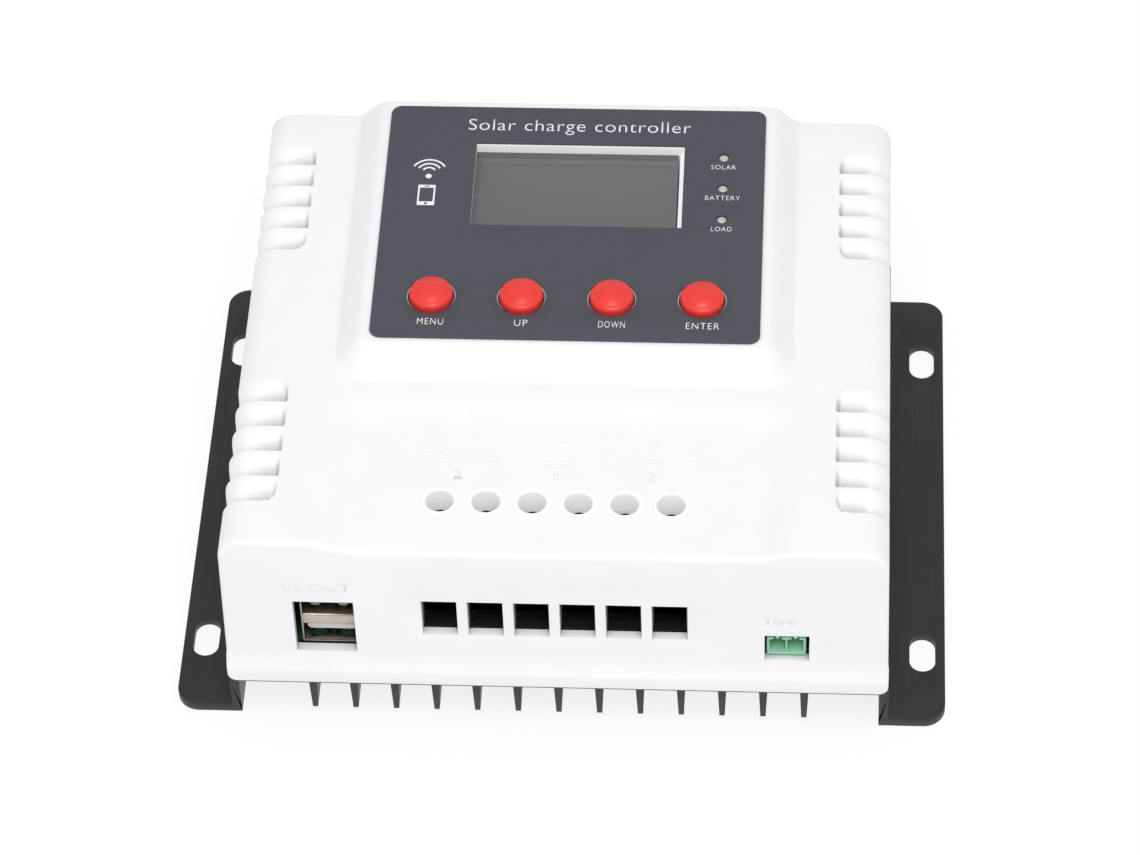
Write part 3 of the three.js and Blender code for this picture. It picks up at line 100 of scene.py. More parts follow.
class Workpiece:
    """One mesh on the bench, shaped with Blender's modelling tools."""

    def __init__(self, name: str, made: bpy.types.Object) -> None:
        """Takes the object that was just made and gives it the piece's name."""
        self.object = made
        made.name = name
        made.data.name = name

    # ---- starting shapes

    @classmethod
    def from_active(cls, name: str) -> "Workpiece":
        """Wraps the active object, with its place moved into its mesh."""
        piece = cls(name, bpy.context.object)
        piece.settle()
        return piece

    @classmethod
    def block(cls, name: str, low: Sequence[float], high: Sequence[float]) -> "Workpiece":
        """A box between two corners."""
        deselect_all()
        lower, upper = Vector(low), Vector(high)
        bpy.ops.mesh.primitive_cube_add(size=1, location=(lower + upper) / 2 * MM)
        bpy.context.object.scale = (upper - lower) * MM
        return cls.from_active(name)

    @classmethod
    def bar(cls, name: str, start: Sequence[float], end: Sequence[float], width: float) -> "Workpiece":
        """A flat strip between two points at the same height."""
        deselect_all()
        a, b = Vector(start), Vector(end)
        run = b - a
        turn = math.atan2(run.y, run.x)
        bpy.ops.mesh.primitive_plane_add(size=1, location=(a + b) / 2 * MM, rotation=(0, 0, turn))
        bpy.context.object.scale = (run.length * MM, width * MM, 1)
        return cls.from_active(name)

    @classmethod
    def turned(
        cls,
        name: str,
        centre: Sequence[float],
        levels: Sequence[tuple[float, float]],
        sides: int = 48,
        hollow: bool = False,
    ) -> "Workpiece":
        """A body turned about an upright axis.

        Args:
            name: The piece's name.
            centre: The axis' X and Y.
            levels: Radius and Z of each ring, in order from the first ring to the last.
            sides: How many sides the rings have.
            hollow: Whether the last ring joins the first, as on a tube, instead of both being closed.

        Returns:
            The turned piece.
        """
        deselect_all()
        first_r, first_z = levels[0]
        start = (centre[0] * MM, centre[1] * MM, first_z * MM)
        bpy.ops.mesh.primitive_circle_add(vertices=sides, radius=first_r * MM, location=start)
        piece = cls.from_active(name)
        bpy.ops.object.mode_set(mode="EDIT")
        bpy.ops.mesh.select_all(action="SELECT")
        if not hollow:
            bpy.ops.mesh.edge_face_add()
        radius, height = first_r, first_z
        for next_r, next_z in levels[1:]:
            axis_point = (centre[0] * MM, centre[1] * MM, next_z * MM)
            rise = {"value": (0, 0, (next_z - height) * MM)}
            if hollow:
                bpy.ops.mesh.extrude_edges_move(TRANSFORM_OT_translate=rise)
            else:
                bpy.ops.mesh.extrude_region_move(TRANSFORM_OT_translate=rise)
            share = next_r / radius
            bpy.ops.transform.resize(value=(share, share, 1), center_override=axis_point)
            radius, height = next_r, next_z
        if hollow:
            piece.select_edges(lambda edge: edge.is_boundary)
            bpy.ops.mesh.bridge_edge_loops()
        bpy.ops.mesh.select_all(action="SELECT")
        bpy.ops.mesh.normals_make_consistent(inside=False)
        bpy.ops.object.mode_set(mode="OBJECT")
        return piece

    @classmethod
    def copy_of(cls, node: str, name: str) -> "Workpiece":
        """A merged copy of a CAD node, ready to be shaped further."""
        deselect_all()
        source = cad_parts[node]
        made = bpy.data.objects.new(name, source.data.copy())
        bpy.context.scene.collection.objects.link(made)
        bpy.context.view_layer.objects.active = made
        piece = cls(name, made)
        made.data.materials.clear()
        with piece.editing():
            bpy.ops.mesh.select_all(action="SELECT")
            bpy.ops.mesh.remove_doubles(threshold=0.002 * MM)
            bpy.ops.mesh.dissolve_limited(angle_limit=math.radians(0.5))
        return piece

    # ---- selecting and editing

    def settle(self) -> None:
        """Moves the object's place, turn and scale into its mesh."""
        deselect_all()
        self.object.select_set(True)
        bpy.context.view_layer.objects.active = self.object
        bpy.ops.object.transform_apply(location=True, rotation=True, scale=True)

    def editing(self) -> "EditMode":
        """Edit mode on this piece, for a with statement."""
        return EditMode(self)

    def select_faces(self, wanted: Callable[[bmesh.types.BMFace], bool]) -> int:
        """Selects only the faces that pass a test, in edit mode, and returns how many."""
        bpy.ops.mesh.select_all(action="DESELECT")
        bpy.ops.mesh.select_mode(type="FACE")
        mesh = bmesh.from_edit_mesh(self.object.data)
        found = [face for face in mesh.faces if wanted(face)]
        for face in found:
            face.select_set(True)
        bmesh.update_edit_mesh(self.object.data)
        return len(found)

    def select_edges(self, wanted: Callable[[bmesh.types.BMEdge], bool]) -> int:
        """Selects only the edges that pass a test, in edit mode, and returns how many."""
        bpy.ops.mesh.select_all(action="DESELECT")
        bpy.ops.mesh.select_mode(type="EDGE")
        mesh = bmesh.from_edit_mesh(self.object.data)
        found = [edge for edge in mesh.edges if wanted(edge)]
        for edge in found:
            edge.select_set(True)
        bmesh.update_edit_mesh(self.object.data)
        return len(found)

    def bevel_edges(
        self, wanted: Callable[[bmesh.types.BMEdge], bool], width: float, segments: int = 3
    ) -> "Workpiece":
        """Rounds the edges that pass a test."""
        with self.editing():
            if self.select_edges(wanted):
                bpy.ops.mesh.bevel(offset=width * MM, segments=segments, affect="EDGES", clamp_overlap=True)
        return self

    def modify(self, kind: str, **settings: object) -> "Workpiece":
        """Adds one modifier with its settings and applies it."""
        deselect_all()
        self.object.select_set(True)
        bpy.context.view_layer.objects.active = self.object
        modifier = self.object.modifiers.new(kind.title(), kind)
        for key, value in settings.items():
            setattr(modifier, key, value)
        bpy.ops.object.modifier_apply(modifier=modifier.name)
        return self

    def soften(self, width: float, segments: int = 2, angle: float = 35) -> "Workpiece":
        """Rounds every edge sharper than an angle."""
        return self.modify(
            "BEVEL",
            width=width * MM,
            segments=segments,
            limit_method="ANGLE",
            angle_limit=math.radians(angle),
            use_clamp_overlap=True,
            harden_normals=False,
            miter_outer="MITER_ARC",
        )

    def _boolean(self, operation: str, tools: Iterable["Workpiece"]) -> "Workpiece":
        """Cuts or joins other pieces, which are used up."""
        for tool in tools:
            self.modify("BOOLEAN", operation=operation, solver="MANIFOLD", object=tool.object)
            bpy.data.objects.remove(tool.object)
        return self

    def cut(self, *tools: "Workpiece") -> "Workpiece":
        """Cuts the tools' shapes away."""
        return self._boolean("DIFFERENCE", tools)

    def fuse(self, *tools: "Workpiece") -> "Workpiece":
        """Joins the tools' shapes on."""
        return self._boolean("UNION", tools)

    def gather(self, *others: "Workpiece") -> "Workpiece":
        """Takes other pieces into this one's mesh without merging their shapes."""
        deselect_all()
        for other in others:
            other.object.select_set(True)
        self.object.select_set(True)
        bpy.context.view_layer.objects.active = self.object
        if others:
            bpy.ops.object.join()
        return self

    def raise_sheet(self, low: float, height: float) -> "Workpiece":
        """Gives a flat sheet a thickness, from a lower height upwards."""
        with self.editing():
            bpy.ops.mesh.select_all(action="SELECT")
            bpy.ops.mesh.extrude_region_move(TRANSFORM_OT_translate={"value": (0, 0, height * MM)})
            bpy.ops.mesh.select_all(action="SELECT")
            lowest = min((v.co.z for v in bmesh.from_edit_mesh(self.object.data).verts), default=0.0)
            bpy.ops.transform.translate(value=(0, 0, low * MM - lowest))
            bpy.ops.mesh.normals_make_consistent(inside=False)
        return self

    def move(self, by: Sequence[float]) -> "Workpiece":
        """Moves the mesh."""
        self.object.data.transform(Matrix.Translation(Vector(by) * MM))
        return self

    def turn(self, degrees: float, axis: str, about: Sequence[float]) -> "Workpiece":
        """Turns the mesh about an axis through a point."""
        pivot = Matrix.Translation(Vector(about) * MM)
        spin = Matrix.Rotation(math.radians(degrees), 4, axis)
        self.object.data.transform(pivot @ spin @ pivot.inverted())
        return self

    # ---- finishing

    def smooth(self, angle: float = 32) -> "Workpiece":
        """Shades smoothly across edges flatter than an angle."""
        deselect_all()
        self.object.select_set(True)
        bpy.context.view_layer.objects.active = self.object
        bpy.ops.object.shade_smooth_by_angle(angle=math.radians(angle))
        return self

    def dress(
        self,
        material: bpy.types.Material,
        slot: str,
        body: str = HOUSING,
        stands_for: Sequence[str] = (),
    ) -> "Workpiece":
        """Gives the piece its material, its body and the CAD nodes that it stands for."""
        self.object.data.materials.clear()
        self.object.data.materials.append(material)
        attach(self.object, body)
        if stands_for:
            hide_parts(*stands_for)
        LOG.info("%s: %d faces", self.object.name, len(self.object.data.polygons))
        return self


class EditMode:
    """Edit mode on one piece, left again at the end of a with statement."""

    def __init__(self, piece: Workpiece) -> None:
        """Keeps the piece to edit."""
        self.piece = piece

    def __enter__(self) -> Workpiece:
        """Enters edit mode with nothing selected."""
        deselect_all()
        self.piece.object.select_set(True)
        bpy.context.view_layer.objects.active = self.piece.object
        bpy.ops.object.mode_set(mode="EDIT")
        bpy.ops.mesh.select_all(action="DESELECT")
        return self.piece

    def __exit__(self, *_: object) -> None:
        """Leaves edit mode."""
        bpy.ops.object.mode_set(mode="OBJECT")


# ------------------------------------------------------------------ finishes


class Shader:
    """The node tree of one material, built round its Principled shader."""

    def __init__(self, name: str, colour: Colour, roughness: float, metallic: float = 0.0) -> None:
        """Makes the material with its plain values."""
        self.material = bpy.data.materials.new(name)
        self.material.use_nodes = True
        self.tree = self.material.node_tree
        self.bsdf = self.tree.nodes["Principled BSDF"]
        self.bsdf.inputs["Base Color"].default_value = (*colour, 1)
        self.bsdf.inputs["Roughness"].default_value = roughness
        self.bsdf.inputs["Metallic"].default_value = metallic

    def node(self, kind: str, **settings: object) -> bpy.types.Node:
        """Adds a node with its settings."""
        made = self.tree.nodes.new(kind)
        for key, value in settings.items():
            setattr(made, key, value)
        return made

    def link(self, start: bpy.types.NodeSocket, end: bpy.types.NodeSocket) -> None:
        """Joins two sockets."""
        self.tree.links.new(start, end)

    def place(self, scale: Point = (1, 1, 1), turn: Point = (0, 0, 0)) -> bpy.types.NodeSocket:
        """Object coordinates, stretched and turned."""
        coordinates = self.node("ShaderNodeTexCoord")
        mapping = self.node("ShaderNodeMapping")
        mapping.inputs["Scale"].default_value = scale
        mapping.inputs["Rotation"].default_value = [math.radians(a) for a in turn]
        self.link(coordinates.outputs["Object"], mapping.inputs["Vector"])
        return mapping.outputs["Vector"]

    def noise(
        self, where: bpy.types.NodeSocket, size: float, detail: float = 3, roughness: float = 0.5
    ) -> bpy.types.NodeSocket:
        """A noise whose features are about one size, in millimetres."""
        made = self.node("ShaderNodeTexNoise")
        made.inputs["Scale"].default_value = 1 / (size * MM)
        made.inputs["Detail"].default_value = detail
        made.inputs["Roughness"].default_value = roughness
        self.link(where, made.inputs["Vector"])
        return made.outputs["Fac"]

    def ramp(
        self, value: bpy.types.NodeSocket, low: Colour, high: Colour, ends: tuple[float, float] = (0.3, 0.7)
    ) -> bpy.types.NodeSocket:
        """A colour that runs from one to another as a value rises."""
        made = self.node("ShaderNodeValToRGB")
        made.color_ramp.elements[0].position, made.color_ramp.elements[1].position = ends
        made.color_ramp.elements[0].color = (*low, 1)
        made.color_ramp.elements[1].color = (*high, 1)
        self.link(value, made.inputs["Fac"])
        return made.outputs["Color"]

    def blend(
        self, share: bpy.types.NodeSocket, first: bpy.types.NodeSocket, second: Colour
    ) -> bpy.types.NodeSocket:
        """Mixes a colour over another by a share."""
        made = self.node("ShaderNodeMix", data_type="RGBA")
        self.link(share, made.inputs["Factor"])
        self.link(first, made.inputs[6])
        made.inputs[7].default_value = (*second, 1)
        return made.outputs[2]

    def spread(self, value: bpy.types.NodeSocket, low: float, high: float) -> bpy.types.NodeSocket:
        """Maps a value from 0.3 to 0.7 onto a range."""
        made = self.node("ShaderNodeMapRange")
        made.inputs["From Min"].default_value = 0.3
        made.inputs["From Max"].default_value = 0.7
        made.inputs["To Min"].default_value = low
        made.inputs["To Max"].default_value = high
        self.link(value, made.inputs["Value"])
        return made.outputs["Result"]

    def colour(self, source: bpy.types.NodeSocket) -> None:
        """Sets the base colour from a socket."""
        self.link(source, self.bsdf.inputs["Base Color"])

    def roughness(self, source: bpy.types.NodeSocket) -> None:
        """Sets the roughness from a socket."""
        self.link(source, self.bsdf.inputs["Roughness"])

    def paint_hollow_shade(self, base: bpy.types.NodeSocket, reach: float, shade: Colour) -> bpy.types.NodeSocket:
        """Paints shade into a colour where the surface is closed in within a reach, in millimetres."""
        closed = self.node("ShaderNodeAmbientOcclusion", samples=12)
        closed.inputs["Distance"].default_value = reach * MM
        made = self.node("ShaderNodeMix", data_type="RGBA", blend_type="MULTIPLY")
        made.inputs["Factor"].default_value = 1
        self.link(base, made.inputs[6])
        self.link(self.ramp(closed.outputs["AO"], shade, (1, 1, 1), ends=(0.35, 0.92)), made.inputs[7])
        return made.outputs[2]

    def bump(self, height: bpy.types.NodeSocket, depth: float, strength: float = 1.0) -> None:
        """Raises the surface by a height of up to one depth, in millimetres."""
        made = self.node("ShaderNodeBump")
        made.inputs["Strength"].default_value = strength
        made.inputs["Distance"].default_value = depth * MM
        self.link(height, made.inputs["Height"])
        self.link(made.outputs["Normal"], self.bsdf.inputs["Normal"])


def tinted(colour: Colour, factor: float) -> Colour:
    """A colour made lighter or darker."""
    return tuple(min(1.0, channel * factor) for channel in colour)


@dataclass(frozen=True)
class MouldedPlastic:
    """Injection-moulded plastic with a fine spark-eroded grain.

    Attributes:
        name: The material's name.
        colour: The plastic's own colour.
        gloss: Its roughness.
        grain: How wide the grain is, in millimetres.
        depth: How deep the grain is, in millimetres.
        mottle: How much lighter and darker the colour runs.
        mottle_size: How wide the lighter and darker patches are, in millimetres.
        sheen: How strongly it mirrors straight on.
        painted_shade: How far the plastic in its hollows is darkened by painted shade, as a share of its
            colour.
        painted_shade_reach: How wide a hollow can be and still take the painted shade, in millimetres.
        painted_glow: How strongly it glows in its own colour, a painted brightening, though it is no lamp.
    """

    name: str
    colour: Colour
    gloss: float = 0.45
    grain: float = 0.16
    depth: float = 0.004
    mottle: float = 0.012
    mottle_size: float = 9.0
    sheen: float = 0.5
    painted_shade: float = 0.0
    painted_shade_reach: float = 6.0
    painted_glow: float = 0.0

    def material(self) -> bpy.types.Material:
        """Builds the material."""
        shader = Shader(self.name, self.colour, self.gloss)
        shader.bsdf.inputs["Specular IOR Level"].default_value = self.sheen
        # Painted glow in the plastic's own colour; the plastic is no lamp.
        shader.bsdf.inputs["Emission Color"].default_value = (*self.colour, 1)
        shader.bsdf.inputs["Emission Strength"].default_value = self.painted_glow
        where = shader.place()
        patches = shader.noise(where, self.mottle_size, detail=4)
        grain = shader.noise(where, self.grain, detail=2, roughness=0.6)
        low, high = tinted(self.colour, 1 - self.mottle), tinted(self.colour, 1 + self.mottle)
        base = shader.ramp(patches, low, high)
        # Painted shade: the colour is darkened where the surface is closed in.
        if self.painted_shade:
            shade = (1 - self.painted_shade, 1 - self.painted_shade * 0.98, 1 - self.painted_shade * 0.94)
            base = shader.paint_hollow_shade(base, self.painted_shade_reach, shade)
        shader.colour(base)
        shader.roughness(shader.spread(grain, self.gloss - 0.05, self.gloss + 0.06))
        shader.bump(grain, self.depth)
        return shader.material


@dataclass(frozen=True)
class AnodisedExtrusion:
    """Black anodised aluminium with faint die lines along Y and a few bright nicks."""

    name: str
    colour: Colour
    gloss: float = 0.46
    nick_colour: Colour = (0.32, 0.32, 0.33)

    def material(self) -> bpy.types.Material:
        """Builds the material."""
        shader = Shader(self.name, self.colour, self.gloss)
        lines = shader.noise(shader.place(scale=(1, 0.012, 1)), 0.35, detail=3)
        bloom = shader.noise(shader.place(), 14, detail=5)
        grit = shader.noise(shader.place(), 0.12, detail=2)
        nicks = shader.noise(shader.place(), 1.1, detail=6, roughness=0.75)
        base = shader.ramp(bloom, tinted(self.colour, 0.85), tinted(self.colour, 1.2))
        share = shader.ramp(nicks, (0, 0, 0), (1, 1, 1), ends=(0.79, 0.81))
        shader.colour(shader.blend(share, base, self.nick_colour))
        shader.roughness(shader.spread(lines, self.gloss - 0.07, self.gloss + 0.09))
        both = shader.node("ShaderNodeMath", operation="MULTIPLY_ADD")
        both.inputs[1].default_value = 0.35
        shader.link(grit, both.inputs[0])
        shader.link(lines, both.inputs[2])
        shader.bump(both.outputs[0], 0.006)
        return shader.material


@dataclass(frozen=True)
class PrintedFilm:
    """A slate grey printed film with a velvet surface and a few specks of dust."""

    name: str
    colour: Colour
    gloss: float = 0.5
    speck_colour: Colour = (0.3, 0.3, 0.32)

    def material(self) -> bpy.types.Material:
        """Builds the material."""
        shader = Shader(self.name, self.colour, self.gloss)
        where = shader.place()
        toner = shader.noise(where, 0.22, detail=3, roughness=0.7)
        cloud = shader.noise(where, 30, detail=3)
        dust = shader.noise(where, 0.9, detail=5, roughness=0.8)
        base = shader.ramp(toner, tinted(self.colour, 0.9), tinted(self.colour, 1.1))
        share = shader.ramp(dust, (0, 0, 0), (0.6, 0.6, 0.6), ends=(0.8, 0.82))
        shader.colour(shader.blend(share, base, self.speck_colour))
        shader.roughness(shader.spread(cloud, self.gloss - 0.04, self.gloss + 0.05))
        shader.bump(toner, 0.003)
        return shader.material


@dataclass(frozen=True)
class PlatedMetal:
    """Plated metal with fine rolling or turning marks along one direction."""

    name: str
    colour: Colour
    gloss: float = 0.28
    stretch: Point = (1, 1, 0.03)
    mark: float = 0.12
    depth: float = 0.003
    tarnish: float = 0.12
    painted_shade: float = 0.0

    def material(self) -> bpy.types.Material:
        """Builds the material."""
        shader = Shader(self.name, self.colour, self.gloss, metallic=1.0)
        marks = shader.noise(shader.place(scale=self.stretch), self.mark, detail=3)
        patches = shader.noise(shader.place(), 3.0, detail=5)
        low, high = tinted(self.colour, 1 - self.tarnish), tinted(self.colour, 1 + self.tarnish / 2)
        base = shader.ramp(patches, low, high)
        # Painted shade: the colour is darkened where the metal is closed in.
        if self.painted_shade:
            base = shader.paint_hollow_shade(base, 7.0, (1 - self.painted_shade, 1 - self.painted_shade, 1 - self.painted_shade))
        shader.colour(base)
        shader.roughness(shader.spread(marks, self.gloss - 0.08, self.gloss + 0.12))
        shader.bump(marks, self.depth)
        return shader.material


@dataclass(frozen=True)
class DisplayGlass:
    """An unlit display under clear gloss, with its faint dot rows."""

    name: str
    colour: Colour
    gloss: float = 0.22
    dot: float = 0.36

    def material(self) -> bpy.types.Material:
        """Builds the material."""
        shader = Shader(self.name, self.colour, self.gloss)
        shader.bsdf.inputs["Coat Weight"].default_value = 0.35
        shader.bsdf.inputs["Coat Roughness"].default_value = 0.08
        where = shader.place()
        rows = shader.node("ShaderNodeTexWave", wave_type="BANDS", bands_direction="DIAGONAL")
        rows.inputs["Scale"].default_value = 0.31 / (self.dot * MM)
        shader.link(where, rows.inputs["Vector"])
        haze = shader.noise(where, 0.3, detail=3)
        cloud = shader.noise(where, 18, detail=2)
        dots = shader.ramp(rows.outputs["Fac"], tinted(self.colour, 0.985), tinted(self.colour, 1.015))
        share = shader.ramp(haze, (0, 0, 0), (0.12, 0.12, 0.12))
        shader.colour(shader.blend(share, dots, tinted(self.colour, 1.25)))
        shader.roughness(shader.spread(cloud, self.gloss - 0.03, self.gloss + 0.05))
        return shader.material


@dataclass(frozen=True)
class SolderMask:
    """Green solder mask over copper tracks."""

    name: str
    colour: Colour = (0.006, 0.06, 0.022)
    track_colour: Colour = (0.014, 0.11, 0.038)

    def material(self) -> bpy.types.Material:
        """Builds the material."""
        shader = Shader(self.name, self.colour, 0.32)
        tracks = shader.node("ShaderNodeTexBrick", offset=0.5, squash=0.6, squash_frequency=3)
        tracks.inputs["Scale"].default_value = 1 / (9 * MM)
        tracks.inputs["Mortar Size"].default_value = 0.035
        tracks.inputs["Color1"].default_value = (*self.colour, 1)
        tracks.inputs["Color2"].default_value = (*tinted(self.colour, 1.2), 1)
        tracks.inputs["Mortar"].default_value = (*self.track_colour, 1)
        shader.link(shader.place(), tracks.inputs["Vector"])
        shader.colour(tracks.outputs["Color"])
        weave = shader.noise(shader.place(), 0.5, detail=2)
        shader.roughness(shader.spread(weave, 0.26, 0.4))
        shader.bump(tracks.outputs["Fac"], 0.03)
        return shader.material


@dataclass(frozen=True)
class WoundWire:
    """Enamelled wire laid in close turns, one above the other."""

    name: str
    colour: Colour = (0.48, 0.17, 0.06)
    wire: float = 0.9

    def material(self) -> bpy.types.Material:
        """Builds the material."""
        shader = Shader(self.name, self.colour, 0.24, metallic=0.85)
        shader.bsdf.inputs["Coat Weight"].default_value = 0.6
        turns = shader.node("ShaderNodeTexWave", wave_type="BANDS", bands_direction="Z")
        turns.inputs["Scale"].default_value = 0.314 / (self.wire * MM)
        shader.link(shader.place(), turns.inputs["Vector"])
        # Painted shade in the grooves between the turns and a painted highlight on their crests.
        groove, painted_crest_highlight = tinted(self.colour, 0.55), tinted(self.colour, 1.15)
        shade = shader.ramp(turns.outputs["Fac"], groove, painted_crest_highlight, ends=(0, 0.6))
        shader.colour(shade)
        shader.bump(turns.outputs["Fac"], 0.25)
        return shader.material


class Finish(Enum):
    """Every finish on the controller."""

    # The shell's white, darkened by painted shade in its hollows.
    SHELL = MouldedPlastic(
        "shell_white", (0.89, 0.893, 0.905), gloss=0.42, grain=0.2, depth=0.005, painted_shade=0.45
    )
    # A lighter copy of the shell's white for the screwdriver tubes: no painted shade, and a faint painted
    # glow.
    TUBE = MouldedPlastic("tube_white", (0.9, 0.903, 0.915), gloss=0.42, grain=0.2, depth=0.005, painted_glow=0.07)
    # A lighter copy of the shell's white for the raised marks, with a faint painted glow.
    RAISED = MouldedPlastic(
        "raised_white", (0.9, 0.903, 0.915), gloss=0.42, grain=0.2, depth=0.005, painted_glow=0.06
    )
    # The screen frame's white, with a painted glow that keeps it bright.
    DIFFUSER = MouldedPlastic(
        "diffuser_white", (0.86, 0.86, 0.86), gloss=0.35, grain=0.3, depth=0.002, painted_glow=0.14
    )
    ALUMINIUM = AnodisedExtrusion("anodised_black", (0.0155, 0.015, 0.0175))
    FILM = PrintedFilm("label_film", (0.064, 0.066, 0.0835))
    INK = MouldedPlastic("label_ink", (0.9, 0.9, 0.9), gloss=0.5, grain=0.12, depth=0.002, mottle=0.04)
    BUTTON = MouldedPlastic(
        "button_red", (0.83, 0.04, 0.032), gloss=0.36, grain=0.32, depth=0.012, mottle=0.05, mottle_size=0.6
    )
    DISPLAY = DisplayGlass("display_grey", (0.134, 0.125, 0.137))
    # A darker grey for the glass, seen as a dark strip along the screen's far edge where the polariser
    # stops short.
    LEDGE = DisplayGlass("display_ledge", (0.086, 0.08, 0.09))
    LENS = MouldedPlastic("indicator_lens", (0.5, 0.52, 0.5), gloss=0.18, grain=0.4, depth=0.002, sheen=0.7)
    # The port's nickel, darkened by painted shade where it is closed in.
    PORT_METAL = PlatedMetal(
        "port_nickel", (0.55, 0.49, 0.42), gloss=0.3, stretch=(0.04, 1, 1), painted_shade=0.6
    )
    # Darker than the port's nickel: painted shade on the springs deep inside the port.
    SPRING = PlatedMetal("port_spring", (0.27, 0.235, 0.2), gloss=0.45, stretch=(0.04, 1, 1))
    TONGUE = MouldedPlastic("tongue_white", (0.78, 0.78, 0.77), gloss=0.32, grain=0.3, depth=0.002)
    GOLD = PlatedMetal("contact_gold", (0.72, 0.5, 0.2), gloss=0.25)
    HEADER = MouldedPlastic(
        "header_green", (0.3, 0.62, 0.42), gloss=0.3, grain=0.25, depth=0.003, mottle=0.05, mottle_size=2
    )
    PIN = PlatedMetal("pin_tin", (0.78, 0.77, 0.74), gloss=0.22, stretch=(1, 0.05, 1))
    TERMINAL = MouldedPlastic(
        "terminal_black", (0.014, 0.014, 0.015), gloss=0.24, grain=0.3, depth=0.003, mottle=0.1
    )
    STEEL = PlatedMetal("screw_zinc", (0.6, 0.61, 0.63), gloss=0.3, stretch=(1, 1, 0.08))
    DARK_STEEL = PlatedMetal("terminal_steel", (0.3, 0.29, 0.29), gloss=0.34, stretch=(1, 1, 0.08))
    CAGE = PlatedMetal("cage_nickel", (0.55, 0.52, 0.47), gloss=0.3, stretch=(1, 0.05, 1))
    BRASS = PlatedMetal("contact_brass", (0.62, 0.48, 0.26), gloss=0.28, stretch=(1, 0.05, 1))
    BOARD = SolderMask("solder_mask")
    SWITCH = MouldedPlastic(
        "switch_black", (0.015, 0.015, 0.017), gloss=0.4, grain=0.2, depth=0.004, mottle=0.1
    )
    FERRITE = MouldedPlastic(
        "ferrite", (0.035, 0.035, 0.038), gloss=0.62, grain=0.35, depth=0.02, mottle=0.2
    )
    WIRE = WoundWire("enamelled_wire")
    SLEEVE = MouldedPlastic(
        "shrink_sleeve", (0.01, 0.011, 0.02), gloss=0.25, grain=1.5, depth=0.01, mottle=0.1
    )
    PAD = MouldedPlastic("silicone_pad", (0.3, 0.33, 0.36), gloss=0.7, grain=0.5, depth=0.03, mottle=0.06)
    EPOXY = MouldedPlastic(
        "epoxy_case", (0.014, 0.014, 0.015), gloss=0.5, grain=0.15, depth=0.01, mottle=0.15
    )
    TIN = PlatedMetal("tinned_can", (0.66, 0.66, 0.65), gloss=0.35, stretch=(1, 0.05, 1))
    RIBBON = MouldedPlastic(
        "ribbon_grey", (0.42, 0.42, 0.44), gloss=0.5, grain=0.4, depth=0.01, mottle=0.05
    )

    def material(self) -> bpy.types.Material:
        """The finish's material, made once."""
        return bpy.data.materials.get(self.value.name) or self.value.material()


# ------------------------------------------------------------------ smooth shapes in plan


def soft_positive(x: np.ndarray, knee: float) -> np.ndarray:
    """The positive part of x, with its corner rounded over a knee on both sides."""
    rounded = (x + knee) ** 2 / (4 * knee)
    return np.where(x <= -knee, 0.0, np.where(x >= knee, x, rounded))


def ramp_up(x: np.ndarray, width: float, knee: float) -> np.ndarray:
    """0 below 0, 1 past a width, and straight between, with both corners rounded."""
    return (soft_positive(x, knee) - soft_positive(x - width, knee)) / width


def inside_corner(from_side: np.ndarray, from_end: np.ndarray, radius: float) -> np.ndarray:
    """How far a point is inside two meeting edges whose corner is rounded."""
    near = (from_side < radius) & (from_end < radius)
    round_part = radius - np.hypot(radius - from_side, radius - from_end)
    return np.where(near, round_part, np.minimum(from_side, from_end))


def spaced(*stops: tuple[float, float]) -> np.ndarray:
    """Numbers from stop to stop.

    Args:
        stops: Each stop's value and the step that leads up to it. The first one's step isn't used.

    Returns:
        The numbers in order, each once.
    """
    values = [stops[0][0]]
    for (start, _), (end, step) in zip(stops, stops[1:]):
        count = max(1, round(abs(end - start) / step))
        values.extend(start + (end - start) * i / count for i in range(1, count + 1))
    return np.array(values)


# ------------------------------------------------------------------ cover


@dataclass
class ScoopGroup:
    """A row of cooling scoops down one end of a shoulder."""

    start: float
    pitch: float
    count: int = 5

    @property
    def end(self) -> float:
        """Where the last scoop ends."""
        return self.start + self.count * self.pitch


